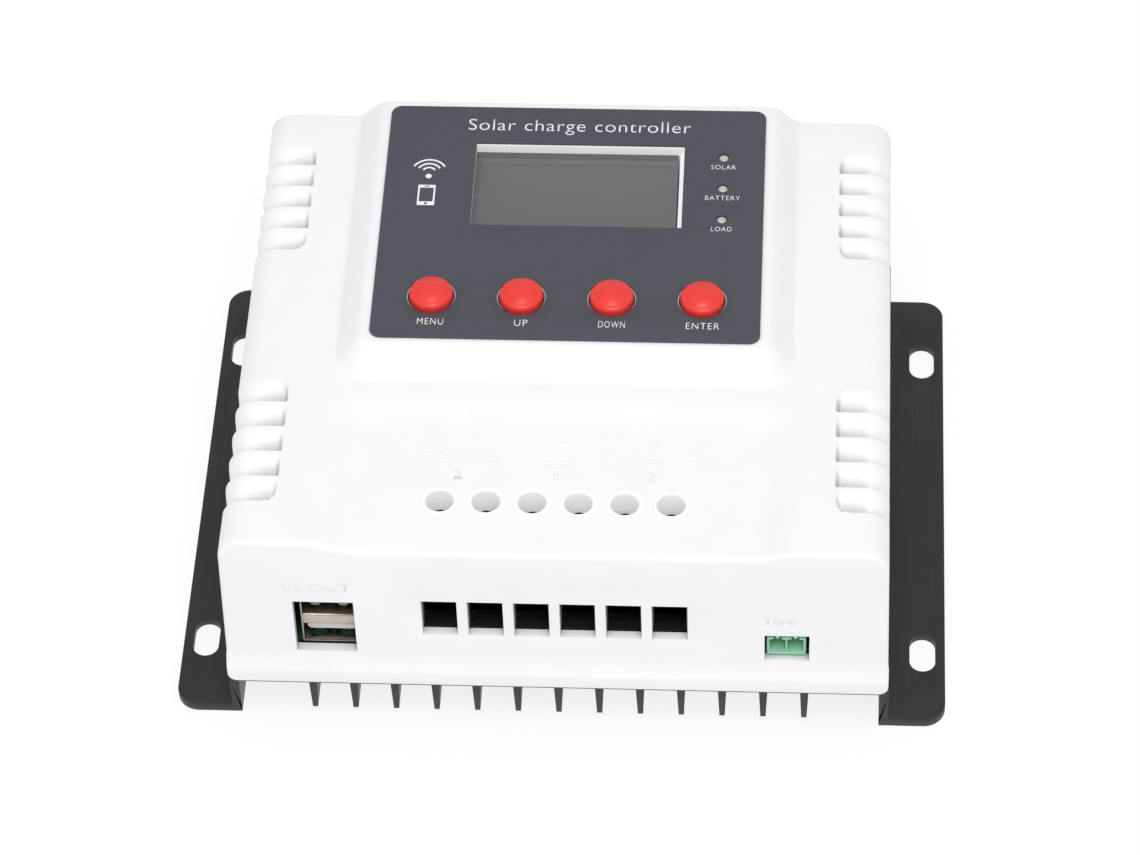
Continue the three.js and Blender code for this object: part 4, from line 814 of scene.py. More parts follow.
@dataclass
class Cover:
    """The white moulded shell: shoulders, raised panel, recess, scoops, windows and lips."""

    wall: float = 2.2
    side_height: float = 46.4
    side_draft: float = 0.8
    shoulder_r: float = 5.5
    end_edge_r: float = 1.0
    panel_rise: float = 5.0
    panel_half_width: float = 46.05
    panel_side_ramp: float = 5.5
    panel_front_ramp: float = 6.3
    panel_front_y: float = -11.3
    panel_corner_r: float = 8.0
    recess_half_width: float = 51.7
    recess_back_y: float = -22.3
    recess_ramp: float = 6.7
    recess_corner_r: float = 9.0
    recess_back_depth: float = 1.5
    recess_front_depth: float = 2.5
    scoop_inner_x: float = 61.0
    scoop_foot_drop: float = 16.0
    scoop_depth: float = 1.9
    scoop_top_depth: float = 3.6
    scoop_side_run: float = 4.0
    scoop_edge: float = 1.0
    scoop_corner_r: float = 4.0
    scoop_groups: tuple[ScoopGroup, ...] = (ScoopGroup(22.0, 6.86), ScoopGroup(-54.2, 7.33))
    lip_flare: float = 1.3
    lip_slope: float = 3.0
    lip_height: float = 4.1
    lip_corner_r: float = 2.2
    window_width: float = 7.8
    window_z: tuple[float, float] = (31.4, 42.8)
    port_margins: tuple[float, float, float, float] = (1.19, -0.84, 0.35, 1.05)
    header_margins: tuple[float, float, float, float] = (0.455, 0.7, 0.35, 0.175)
    fit_gap: float = 0.3
    access_r: float = 3.05
    access_foot_r: float = 2.6
    access_depth: float = 6.2
    box: Extent = field(default_factory=lambda: Extent.of("cover"))

    def __post_init__(self) -> None:
        """Works out the shell's main places from its box."""
        self.foot_x = self.box.high.x
        self.foot_z = self.box.low.z
        self.back_y = self.box.high.y - self.lip_flare
        self.front_y = -self.back_y
        self.shoulder_z = self.foot_z + self.side_height
        self.panel_z = self.shoulder_z + self.panel_rise
        self.top_x = self.foot_x - self.side_draft
        self.arc_x = self.top_x - self.shoulder_r
        self.arc_z = self.shoulder_z - self.shoulder_r
        self.recess_floor_y = self.recess_back_y - self.recess_ramp

    # ---- the outer skin

    def half_section(self) -> np.ndarray:
        """The right half of the section, from the foot to the middle of the top.

        Returns:
            Rows of x, z, the outward normal's x and z, and the distance out from the scoops' inner line.
        """
        rows = []
        scoop_foot = self.shoulder_z - self.scoop_foot_drop
        flat_run = self.arc_x - self.scoop_inner_x
        arc_run = self.shoulder_r * math.pi / 2
        heights = spaced(
            (self.foot_z, 0), (19.0, 2), (scoop_foot - 1.5, 6), (scoop_foot + 3, 0.45), (self.arc_z, 1.0)
        )
        for z in heights:
            x = self.foot_x - self.side_draft * (z - self.foot_z) / (self.arc_z - self.foot_z)
            rows.append((x, z, 1.0, 0.0, flat_run + arc_run + self.arc_z - z))
        for angle in np.linspace(0, math.pi / 2, 15)[1:]:
            x = self.arc_x + self.shoulder_r * math.cos(angle)
            z = self.arc_z + self.shoulder_r * math.sin(angle)
            run = flat_run + self.shoulder_r * (math.pi / 2 - angle)
            rows.append((x, z, math.cos(angle), math.sin(angle), run))
        across = spaced(
            (self.arc_x, 0), (self.scoop_inner_x + 1.4, 0.9), (self.scoop_inner_x - 0.6, 0.2), (52.5, 2.2),
            (38, 0.6), (0, 5),
        )
        for x in across[1:]:
            rows.append((x, self.shoulder_z, 0.0, 1.0, x - self.scoop_inner_x))
        return np.array(rows)

    def stations(self) -> np.ndarray:
        """Where the skin's rows lie along Y, closer together where the shape turns."""
        edge = self.end_edge_r
        rows = [self.front_y + edge * (1 - math.cos(a)) for a in np.linspace(0, math.pi / 2, 6)]
        rows += [self.back_y - edge * (1 - math.cos(a)) for a in np.linspace(0, math.pi / 2, 6)]
        for group in self.scoop_groups:
            rows += list(group.start + np.array([-0.8, -0.4, -0.15]))
            rows += list(group.end + np.array([0.15, 0.4, 0.8]))
            for i in range(group.count):
                step = np.array([0, 0.05, 0.1, 0.15, 0.26, 0.37, 0.48, 0.6, 0.72, 0.84, 0.93])
                rows += list(group.start + (i + step) * group.pitch)
            rows.append(group.end)
        rows += list(spaced((-63, 0), (group.start - 2, 3)))
        panel_foot = self.panel_front_y - self.panel_front_ramp
        rows += list(spaced((self.recess_floor_y - 4, 0), (self.recess_back_y + 1.5, 0.75)))
        rows += list(spaced((panel_foot - 1.5, 0), (self.panel_front_y + 1.5, 0.6), (19, 3)))
        return np.unique(np.round(rows, 4))

    def relief(self, x: np.ndarray, y: np.ndarray) -> np.ndarray:
        """How far the top stands above the shoulders: up on the panel, down in the recess."""
        panel_base = self.panel_half_width + self.panel_side_ramp
        panel_foot = self.panel_front_y - self.panel_front_ramp
        from_side = panel_base - np.abs(x)
        from_front = (y - panel_foot) * self.panel_side_ramp / self.panel_front_ramp
        inside = inside_corner(from_side, from_front, self.panel_corner_r)
        panel = self.panel_rise * ramp_up(inside, self.panel_side_ramp, 0.8)
        from_edge = self.recess_half_width - np.abs(x)
        inside = inside_corner(from_edge, self.recess_back_y - y, self.recess_corner_r)
        past_floor = np.clip(self.recess_floor_y - y, 0, None) / (self.recess_floor_y - self.front_y)
        depth = self.recess_back_depth + (self.recess_front_depth - self.recess_back_depth) * past_floor
        return panel - depth * ramp_up(inside, self.recess_ramp, 2.2)

    def scoop(self, run: np.ndarray, y: np.ndarray) -> np.ndarray:
        """How deep the scoops are at a distance outward from their inner line."""
        foot_run = self.half_section()[:, 4].max() - (self.shoulder_z - self.scoop_foot_drop - self.foot_z)
        depth = np.zeros_like(y)
        for group in self.scoop_groups:
            along = (group.end - y) / group.pitch
            cell = along - np.floor(along)
            fall = 1 - np.cos(np.clip(cell / 0.86, 0, 1) * math.pi / 2)
            step = np.clip((cell - 0.86) / 0.14, 0, 1)
            gill = fall * (1 - step * step * (3 - 2 * step))
            near_end = np.minimum(group.end - y, y - group.start)
            near_line = np.minimum(run, foot_run - run)
            inside = inside_corner(near_line, near_end, self.scoop_corner_r)
            share = np.clip(inside / self.scoop_edge, 0, 1)
            depth = np.maximum(depth, gill * share * share * (3 - 2 * share))
        share = np.clip((run - self.scoop_side_run) / self.shoulder_r, 0, 1)
        return depth * (self.scoop_top_depth + (self.scoop_depth - self.scoop_top_depth) * share)

    def skin(self) -> Workpiece:
        """The closed outer body: a sheet draped over the section, then capped at both ends and below."""
        half = self.half_section()
        other = half[:-1][::-1].copy()
        other[:, [0, 2]] *= -1
        section = np.vstack([half, other])
        stations = self.stations()
        columns, rows = len(section), len(stations)
        deselect_all()
        bpy.ops.mesh.primitive_grid_add(x_subdivisions=columns - 1, y_subdivisions=rows - 1, size=1)
        piece = Workpiece.from_active("cover")
        mesh = piece.object.data
        flat = np.zeros(len(mesh.vertices) * 3)
        mesh.vertices.foreach_get("co", flat)
        flat = flat.reshape(-1, 3)
        column = np.rint((flat[:, 0] + 0.5) * (columns - 1)).astype(int)
        row = np.rint((flat[:, 1] + 0.5) * (rows - 1)).astype(int)
        x, z, nx, nz, run = section[column].T
        y = stations[row]
        from_end = np.minimum(y - self.front_y, self.back_y - y)
        edge = self.end_edge_r
        inset = edge - np.sqrt(np.clip(edge**2 - np.clip(edge - from_end, 0, edge) ** 2, 0, None))
        sunk = inset + self.scoop(run, y)
        placed = np.column_stack([x - nx * sunk, y, z - nz * sunk + self.relief(x, y)])
        mesh.vertices.foreach_set("co", (placed * MM).ravel())
        mesh.update()
        with piece.editing():
            for end_y in (self.front_y, self.back_y):
                piece.select_edges(
                    lambda edge: edge.is_boundary
                    and all(abs(v.co.y / MM - end_y) < 1e-3 for v in edge.verts)
                )
                bpy.ops.mesh.edge_face_add()
            piece.select_edges(lambda edge: edge.is_boundary)
            bpy.ops.mesh.edge_face_add()
            bpy.ops.mesh.select_all(action="SELECT")
            bpy.ops.mesh.normals_make_consistent(inside=False)
        return piece

    # ---- what is joined on and cut away

    def lip(self, side: int) -> Workpiece:
        """The flared lip along the foot of one end."""
        outer, inner = side * (self.back_y + self.lip_flare), side * (self.back_y - 1)
        top = self.foot_z + self.lip_height + self.lip_slope
        low = (-self.foot_x, min(outer, inner), self.foot_z)
        high = (self.foot_x, max(outer, inner), top)
        lip = Workpiece.block("lip", low, high)
        with lip.editing():
            lip.select_edges(
                lambda edge: all(
                    abs(v.co.y / MM - outer) < 0.01 and abs(v.co.z / MM - top) < 0.01 for v in edge.verts
                )
            )
            bpy.ops.transform.translate(value=(0, 0, -self.lip_slope * MM))
            lip.select_edges(
                lambda edge: all(
                    abs(v.co.y / MM - inner) < 0.01 and abs(v.co.z / MM - top) < 0.01 for v in edge.verts
                )
            )
            bpy.ops.transform.translate(value=(0, 0, self.lip_slope / self.lip_flare * MM))
        lip.bevel_edges(
            lambda edge: all(abs(v.co.z / MM - self.foot_z) < 0.01 for v in edge.verts)
            and abs(edge.verts[0].co.x - edge.verts[1].co.x) < 1e-6,
            self.lip_corner_r,
            6,
        )
        return lip.soften(0.5, 3, 20)

    def hollows(self) -> list[Workpiece]:
        """The room inside the shell, in three blocks with rounded corners."""
        end = self.back_y - self.wall
        knee_z = self.shoulder_z - self.scoop_foot_drop - self.wall
        ceiling = self.shoulder_z - self.recess_front_depth - self.wall
        wide, narrow = self.top_x - self.wall, self.top_x - self.wall - self.scoop_depth
        pocket, pocket_front = self.panel_half_width - self.wall, self.panel_front_y + self.wall
        spans = [
            ((-wide, -end, self.foot_z - 1), (wide, end, knee_z)),
            ((-narrow, -end, knee_z - 1), (narrow, end, ceiling)),
            ((-pocket, pocket_front, ceiling - 1), (pocket, end, self.panel_z - self.wall)),
        ]
        return [Workpiece.block("hollow", low, high).soften(1.0, 2) for low, high in spans]

    def recess_z(self, y: float) -> float:
        """The height of the recess floor at a place along Y."""
        return self.shoulder_z + float(self.relief(np.array([0.0]), np.array([y]))[0])

    def front_cutters(self) -> list[Workpiece]:
        """The cable windows and the port's and header's openings."""
        front, inner = self.front_y - 3, self.front_y + self.wall + 1
        cutters = []
        block = Extent.of("terminal_block")
        pitch = block.size.x / TerminalRow.poles
        half, (sill, lintel) = self.window_width / 2, self.window_z
        for i in range(TerminalRow.poles):
            x = (i - (TerminalRow.poles - 1) / 2) * pitch
            cutters.append(Workpiece.block("window", (x - half, front, sill), (x + half, inner, lintel)))
        sockets = (("port_shell", self.port_margins), ("sensor_header", self.header_margins))
        for node, (left, right, under, over) in sockets:
            box = Extent.of(node)
            low = (box.low.x - left, front, box.low.z - under)
            high = (box.high.x + right, inner, box.high.z + over)
            cutters.append(Workpiece.block("socket_window", low, high))
        return cutters

    def panel_cutters(self) -> list[Workpiece]:
        """The screen's opening and the indicators' and buttons' holes."""
        low, high = self.panel_z - self.wall - 2, self.panel_z + 2
        gap = self.fit_gap
        cutters = [Screen.opening(low, high)]
        for name in Indicator.names:
            led = Extent.of(f"{name}_led")
            r = led.size.y / 2 + gap
            cutters.append(Workpiece.turned("led_hole", led.centre, [(r, low), (r, high)], 32))
        for name in PushButton.names:
            cap = Extent.of(f"{name}_button")
            r = cap.size.x / 2 + gap
            cutters.append(Workpiece.turned("button_hole", cap.centre, [(r, low), (r, high)], 64))
        return cutters

    def access_tubes(self) -> tuple[list[Workpiece], list[Workpiece]]:
        """The screwdriver tubes with their raised rims, and the holes that they stand in."""
        tubes, holes = [], []
        r = self.access_r
        for i in range(1, TerminalRow.poles + 1):
            centre = Extent.of(f"terminal_screw_{i}").centre
            top = self.recess_z(centre.y)
            foot = top - self.access_depth
            levels = [
                (self.access_foot_r, foot), (r + 0.8, foot), (r + 0.8, top - 1.0), (r + 1.0, top - 0.3),
                (r + 0.92, top + 0.02), (r + 0.74, top + 0.16), (r + 0.52, top + 0.2),
                (r + 0.3, top + 0.14), (r + 0.12, top - 0.04), (r + 0.02, top - 0.3),
                (r - 0.02, top - 0.7),
            ]
            tubes.append(Workpiece.turned("access_tube", centre, levels, 64, hollow=True))
            hole = [(r + 0.6, foot - 3), (r + 0.6, top + 3)]
            holes.append(Workpiece.turned("access_hole", centre, hole, 64))
        return tubes, holes

    def bosses(self) -> tuple[list[Workpiece], list[Workpiece]]:
        """The four screw bosses and their bores."""
        posts, bores = [], []
        for i in range(1, 5):
            screw = Extent.of(f"housing_screw_{i}")
            post = [(3.4, self.foot_z + 0.02), (3.5, self.shoulder_z - 3.6)]
            posts.append(Workpiece.turned("boss", screw.centre, post, 32))
            bore = [(1.8, self.foot_z - 2), (1.8, self.foot_z + 16)]
            bores.append(Workpiece.turned("bore", screw.centre, bore, 24))
        return posts, bores

    def build(self) -> None:
        """Makes the cover, its screwdriver tubes and their collars."""
        shell = self.skin()
        shell.fuse(self.lip(-1), self.lip(1))
        shell.cut(*self.hollows())
        posts, bores = self.bosses()
        tubes, holes = self.access_tubes()
        shell.fuse(*posts)
        shell.cut(*holes, *bores, *self.front_cutters(), *self.panel_cutters())
        self.round_openings(shell)
        shell.smooth(38)
        shell.dress(Finish.SHELL.material(), "cover", stands_for=["cover"])
        # The tubes take the lighter white, with no painted shade and a faint painted glow.
        for tube in tubes:
            tube.smooth(38).dress(Finish.TUBE.material(), "cover")
        self.collars()

    def collars(self) -> None:
        """The black collars that carry the screwdriver tubes on down to the terminals."""
        foot = Extent.of("terminal_block").high.z
        for i in range(1, TerminalRow.poles + 1):
            centre = Extent.of(f"terminal_screw_{i}").centre
            top = self.recess_z(centre.y) - self.access_depth - 0.05
            levels = [(self.access_r - 0.2, foot), (self.access_r + 0.6, foot), (self.access_r + 0.6, top)]
            levels.append((self.access_r - 0.2, top))
            collar = Workpiece.turned(f"terminal_collar_{i}", centre, levels, 48, hollow=True).smooth(38)
            collar.dress(Finish.TERMINAL.material(), "terminal_housing")

    def round_openings(self, shell: Workpiece) -> None:
        """Takes the sharpness off the openings' rims in the front wall."""
        port, header = Extent.of("port_shell"), Extent.of("sensor_header")

        def on_front(edge: bmesh.types.BMEdge) -> bool:
            """Whether an edge lies in the front face, inside its outline."""
            return all(
                abs(v.co.y / MM - self.front_y) < 0.01
                and port.low.x - 1 < v.co.x / MM < header.high.x + 1
                and header.low.z - 1 < v.co.z / MM < 43.2
                for v in edge.verts
            ) and edge.calc_face_angle(0) > 0.5

        shell.bevel_edges(on_front, 0.3, 3)


# ------------------------------------------------------------------ marks moulded and printed on


class Marks:
    """Flat words and signs, gathered into one sheet and then given a thickness."""

    def __init__(self, thinner: float = -0.008) -> None:
        """Starts with nothing drawn, and with how far the letters' strokes are drawn in."""
        self.parts: list[Workpiece] = []
        self.thinner = thinner

    def word(
        self, text: str, centre: tuple[float, float], width: float, cap: float, spacing: float = 1.0
    ) -> None:
        """Sets a word of capitals or digits to an exact width and cap height.

        Args:
            text: The word.
            centre: The middle of its capitals, in X and Y.
            width: How wide it is.
            cap: How tall its capitals are.
            spacing: How far apart its letters stand.
        """
        deselect_all()
        bpy.ops.object.text_add()
        letters = bpy.context.object
        letters.data.body = text
        letters.data.space_character = spacing
        letters.data.resolution_u = 4
        letters.data.offset = self.thinner
        bpy.ops.object.convert(target="MESH")
        piece = Workpiece.from_active("word")
        points = [v.co for v in piece.object.data.vertices]
        left, right = min(p.x for p in points), max(p.x for p in points)
        capital = 0.729
        grow = Matrix.Diagonal((width * MM / (right - left), cap * MM / capital, 1, 1))
        piece.object.data.transform(Matrix.Translation((-(left + right) / 2, -capital / 2, 0)))
        piece.object.data.transform(grow)
        piece.move((centre[0], centre[1], 0))
        self.parts.append(piece)

    def line(self, start: tuple[float, float], end: tuple[float, float], width: float) -> None:
        """Draws a straight stroke."""
        self.parts.append(Workpiece.bar("stroke", (*start, 0), (*end, 0), width))

    def outline(self, corners: Sequence[tuple[float, float]], width: float) -> None:
        """Draws strokes round a closed outline, long enough to close its corners."""
        for start, end in zip(corners, [*corners[1:], corners[0]]):
            run = Vector(end) - Vector(start)
            spare = run.normalized() * width / 2
            self.line(tuple(Vector(start) - spare), tuple(Vector(end) + spare), width)

    def arc(
        self, centre: tuple[float, float], radius: float, width: float, start: float, sweep: float
    ) -> None:
        """Draws part of a ring, by spinning a short stroke about its centre."""
        deselect_all()
        angle = math.radians(start)
        inner, outer = radius - width / 2, radius + width / 2
        reach = Vector((math.cos(angle), math.sin(angle), 0))
        middle = Vector((*centre, 0))
        strip = Workpiece.bar("arc", middle + reach * inner, middle + reach * outer, 0.02)
        with strip.editing():
            side = Vector((-reach.y, reach.x, 0))
            strip.select_edges(
                lambda edge: all((v.co / MM - middle).dot(side) > 0 for v in edge.verts)
                and abs((edge.verts[0].co - edge.verts[1].co).normalized().dot(reach)) > 0.9
            )
            steps = max(6, round(abs(sweep) / 6))
            bpy.ops.mesh.spin(steps=steps, angle=-math.radians(sweep), center=middle * MM, axis=(0, 0, 1))
            bpy.ops.mesh.select_all(action="SELECT")
            bpy.ops.mesh.remove_doubles(threshold=0.001 * MM)
        self.parts.append(strip)

    def disc(self, centre: tuple[float, float], radius: float) -> None:
        """Draws a filled spot."""
        deselect_all()
        bpy.ops.mesh.primitive_circle_add(
            vertices=32, radius=radius * MM, fill_type="NGON", location=(centre[0] * MM, centre[1] * MM, 0)
        )
        self.parts.append(Workpiece.from_active("spot"))

    def finish(self, name: str, low: float, height: float) -> Workpiece:
        """Gives every stroke its thickness and joins them into one piece."""
        first, *rest = (part.raise_sheet(low, height) for part in self.parts)
        first.fuse(*rest)
        first.object.name = name
        first.object.data.name = name
        return first


@dataclass
class MouldedMarks:
    """The terminals' signs, moulded on the recess floor, and the words over the front openings."""

    cover: Cover
    height: float = 0.1
    sink: float = 0.25
    stroke: float = 0.36
    sign_y: float = -38.1
    sign_x: tuple[float, ...] = (-28.9, -13.6, -7.5, 7.3, 13.5, 28.7)
    digit_y: float = -43.6

    def build(self) -> None:
        """Makes both sets of marks."""
        marks = Marks()
        half, w = 1.25, self.stroke
        for i, x in enumerate(self.sign_x):
            marks.line((x - half, self.sign_y), (x + half, self.sign_y), w)
            if i % 2 == 0:
                marks.line((x, self.sign_y - half), (x, self.sign_y + half), w)
        self.solar_module(marks)
        self.battery(marks)
        self.bulb(marks)
        for text, x in (("2", -21.8), ("3", 20.9)):
            marks.word(text, (x, self.digit_y), 1.8, 2.6)
        marks.line((-0.2, self.digit_y - 1.3), (-0.2, self.digit_y + 1.3), w)
        marks.line((-0.2, self.digit_y + 1.2), (-0.8, self.digit_y + 0.7), w)
        floor = self.cover.recess_z(self.sign_y)
        signs = marks.finish("terminal_signs", floor - self.sink, self.sink + self.height)
        signs.dress(Finish.RAISED.material(), "cover")

        words = Marks()
        words.word("5V OUT", (-52.1, 0), 15.2, 3.0)
        words.word("TEMP", (50.0, -8.4), 8.0, 2.6)
        front = words.finish("front_words", 0, self.sink + self.height)
        front.turn(90, "X", (0, 0, 0))
        front.move((0, self.cover.front_y + self.sink, 47.2))
        front.dress(Finish.RAISED.material(), "cover")

    def solar_module(self, marks: Marks) -> None:
        """A leaning grid of three by three cells."""
        left, right, low, high, lean = -25.3, -19.5, -40.0, -33.8, 1.9
        for i in range(4):
            share = i / 3
            y = low + (high - low) * share
            marks.line((left + lean * share, y), (right + lean * share, y), self.stroke)
            x = left + (right - left) * share
            marks.line((x, low), (x + lean, high), self.stroke)

    def battery(self, marks: Marks) -> None:
        """A case with two posts and a line across its foot."""
        left, right, low, high = -2.8, 2.2, -40.2, -35.0
        marks.outline([(left, low), (right, low), (right, high), (left, high)], self.stroke)
        marks.line((left, low + 1.3), (right, low + 1.3), self.stroke)
        for x in (left + 1.2, right - 1.2):
            marks.line((x - 0.7, high + 0.7), (x + 0.7, high + 0.7), self.stroke)

    def bulb(self, marks: Marks) -> None:
        """A round lamp over its threaded cap."""
        x, y = 21.2, -35.6
        marks.arc((x, y), 2.4, self.stroke, -60, 300)
        for i in range(3):
            marks.line((x - 1.25, y - 2.6 - i * 0.95), (x + 1.25, y - 2.6 - i * 0.95), self.stroke)
        for side in (-1, 1):
            marks.line((x + side * 1.25, y - 2.1), (x + side * 1.25, y - 4.5), self.stroke)


# ------------------------------------------------------------------ display


@dataclass
class DisplayLabel:
    """The slate film on the panel, with everything printed on it in white."""

    corner_r: float = 2.5
    edge: float = 0.1
    ink: float = 0.035
    box: Extent = field(default_factory=lambda: Extent.of("display_label"))

    def build(self) -> None:
        """Makes the film and its print."""
        film = Workpiece.block("display_label", self.box.low, self.box.high)
        film.bevel_edges(
            lambda edge: abs(edge.verts[0].co.z - edge.verts[1].co.z) > 0.2 * MM, self.corner_r, 10
        )
        low, high = self.box.low.z - 1, self.box.high.z + 1
        film.cut(Screen.opening(low, high))
        for name, reach, sides in [*((f"{n}_led", 0.12, 32) for n in Indicator.names),
                                   *((f"{n}_button", 0.55, 64) for n in PushButton.names)]:
            hole = Extent.of(name)
            r = hole.size.y / 2 + reach
            film.cut(Workpiece.turned("hole", hole.centre, [(r, low), (r, high)], sides))
        film.soften(self.edge, 2, 60).smooth(40)
        film.dress(Finish.FILM.material(), "label", stands_for=["display_label"])
        self.print_words()

    def print_words(self) -> None:
        """Prints the title, the words under the indicators and buttons, and the two signs."""
        marks = Marks()
        marks.word("Solar charge controller", (0.45, 58.4), 51.9, 3.9, 1.06)
        for name, width, below in (("SOLAR", 5.7, 3.1), ("BATTERY", 8.0, 3.1), ("LOAD", 4.7, 3.1)):
            led = Extent.of(f"{name.lower()}_led").centre
            marks.word(name, (led.x, led.y - below), width, 1.5, 1.15)
        widths = {"menu": 5.9, "up": 3.0, "down": 6.0, "enter": 7.5}
        for name, width in widths.items():
            cap = Extent.of(f"{name}_button").centre
            marks.word(name.upper(), (cap.x + 0.3, cap.y - 8.0), width, 2.1, 1.15)
        self.radio_sign(marks)
        self.phone_sign(marks)
        printed = marks.finish("label_print", self.box.high.z - 0.005, self.ink)
        printed.dress(Finish.INK.material(), "label")

    def radio_sign(self, marks: Marks) -> None:
        """Three arcs over a dot."""
        x, y = -33.75, 41.05
        marks.disc((x, y), 0.72)
        for radius in (1.5, 2.75, 4.0):
            marks.arc((x, y + 1.3), radius, 0.45, 28, 124)

    def phone_sign(self, marks: Marks) -> None:
        """A handset with a wide head and foot."""
        left, right, low, high = -35.9, -31.9, 31.7, 38.2
        middle = (left + right) / 2
        for x in (left + 0.2, right - 0.2):
            marks.line((x, low), (x, high), 0.4)
        for outer, way, depth, gap in ((high, -1, 0.9, 0.6), (low, 1, 1.15, 0.35)):
            for y in (outer + way * 0.14, outer + way * (depth - 0.14)):
                marks.line((left, y), (right, y), 0.28)
            for start, end in ((left, middle - gap), (middle + gap, right)):
                marks.line((start, outer + way * depth / 2), (end, outer + way * depth / 2), depth - 0.4)


@dataclass
class Screen:
    """The display: a white frame round a glass with its polariser set back from the far edge."""

    ledge: float = 2.3
    polariser: float = 0.25
    lining: float = 0.3
    left_gap = 0.05
    end_gap = 0.3
    frame_edge = 1.4

    @classmethod
    def opening(cls, low: float, high: float) -> Workpiece:
        """The cutter of the screen's opening, wide enough on the right for the frame's edge to show."""
        glass = Extent.of("screen_glass")
        near = (glass.low.x - cls.left_gap, glass.low.y - cls.end_gap, low)
        far = (glass.high.x + cls.frame_edge, glass.high.y + cls.end_gap, high)
        return Workpiece.block("screen_window", near, far)

    def build(self) -> None:
        """Makes the frame, its raised rim, the glass and the polariser."""
        Workpiece.copy_of("screen_frame", "screen_frame").soften(0.3, 2).smooth().dress(
            Finish.DIFFUSER.material(), "screen_frame", stands_for=["screen_frame"]
        )
        glass = Extent.of("screen_glass")
        top = Extent.of("display_label").low.z - 0.05
        far, right = glass.high.y + self.end_gap, glass.high.x + self.frame_edge
        rim = Workpiece.block(
            "screen_rim", (glass.low.x, far - self.lining, glass.low.z), (right, far + 0.05, top)
        )
        side = (right - self.lining, glass.low.y - 0.2, glass.low.z), (right + 0.05, far, top)
        rim.fuse(Workpiece.block("rim", *side))
        # The rim takes the frame's white with its painted glow, so it shows bright.
        rim.soften(0.1, 2).smooth().dress(Finish.DIFFUSER.material(), "screen_frame")
        body = Workpiece.block("screen_glass", glass.low, glass.high - Vector((0, 0, self.polariser)))
        body.soften(0.15, 2).smooth()
        body.dress(Finish.LEDGE.material(), "screen_glass", stands_for=["screen_glass"])
        low = Vector((glass.low.x + 0.05, glass.low.y + 0.1, glass.high.z - self.polariser - 0.02))
        high = Vector((glass.high.x - 0.05, glass.high.y - self.ledge, glass.high.z))
        sheet = Workpiece.block("screen_polariser", low, high)
        sheet.soften(0.06, 2).smooth()
        sheet.dress(Finish.DISPLAY.material(), "screen_glass")


@dataclass
class Indicator:
    """A round-headed indicator with its flange."""

    name: str
    names = ("solar", "battery", "load")
    dome: float = 0.45

    def build(self) -> None:
        """Makes the indicator."""
        box = Extent.of(f"{self.name}_led")
        r = box.size.y / 2
        foot, top = box.low.z, box.high.z
        levels = [(r, foot), (r, foot + 0.9), (r - 0.06, foot + 1.0), (r - 0.06, top - self.dome)]
        levels += [
            ((r - 0.06) * math.cos(a), top - self.dome + self.dome * math.sin(a))
            for a in np.linspace(0, math.pi / 2, 9)[1:-1]
        ]
        levels.append((0.05, top))
        lens = Workpiece.turned(f"{self.name}_led", box.centre, levels, 40).smooth()
        lens.dress(Finish.LENS.material(), "led_lens", stands_for=[f"{self.name}_led"])


@dataclass
class PushButton:
    """A domed red cap on its push switch."""

    name: str
    names = ("menu", "up", "down", "enter")
    dome: float = 2.0
    skirt: float = 4.0
    edge_r: float = 0.9

    def build(self) -> None:
        """Makes the cap and the switch under it."""
        box = Extent.of(f"{self.name}_button")
        r, top = box.size.x / 2, box.high.z
        edge = top - self.dome
        levels = [
            (1.6, box.low.z), (1.8, box.low.z + 0.2), (1.8, edge - self.skirt),
            (r - 0.6, edge - self.skirt), (r - 0.1, edge - self.skirt + 0.5),
            (r, edge - self.skirt + 1.0), (r, edge - self.edge_r * 0.4),
        ]
        sphere = (r**2 + self.dome**2) / (2 * self.dome)
        inner = r - self.edge_r
        inner_z = top - sphere + math.sqrt(sphere**2 - inner**2)
        base_z = edge - self.edge_r * 0.4
        for a in np.linspace(0, math.pi / 2, 6)[1:]:
            levels.append((inner + self.edge_r * math.cos(a), base_z + (inner_z - base_z) * math.sin(a)))
        for share in (0.85, 0.68, 0.5, 0.33, 0.17, 0.03):
            radius = inner * share
            levels.append((radius, top - sphere + math.sqrt(sphere**2 - radius**2)))
        cap = Workpiece.turned(f"{self.name}_button", box.centre, levels, 72).smooth(50)
        cap.dress(Finish.BUTTON.material(), "button_cap", f"{self.name}_button", [f"{self.name}_button"])
        self.build_switch()

    def build_switch(self) -> None:
        """Makes the switch's moulded body with its four rivets."""
        node = f"{self.name}_switch"
        body = Workpiece.copy_of(node, node).soften(0.35, 2)
        box = Extent.of(node)
        reach = box.size.x / 2 - 1.8
        for side_x in (-1, 1):
            for side_y in (-1, 1):
                place = (box.centre.x + side_x * reach, box.centre.y + side_y * reach)
                rivet = [(0.9, box.high.z - 0.5), (0.9, box.high.z - 0.02), (0.6, box.high.z + 0.05)]
                body.fuse(Workpiece.turned("rivet", place, rivet, 20))
        body.smooth().dress(Finish.SWITCH.material(), "switch_body", stands_for=[node])


# ------------------------------------------------------------------ heat sink and its screws


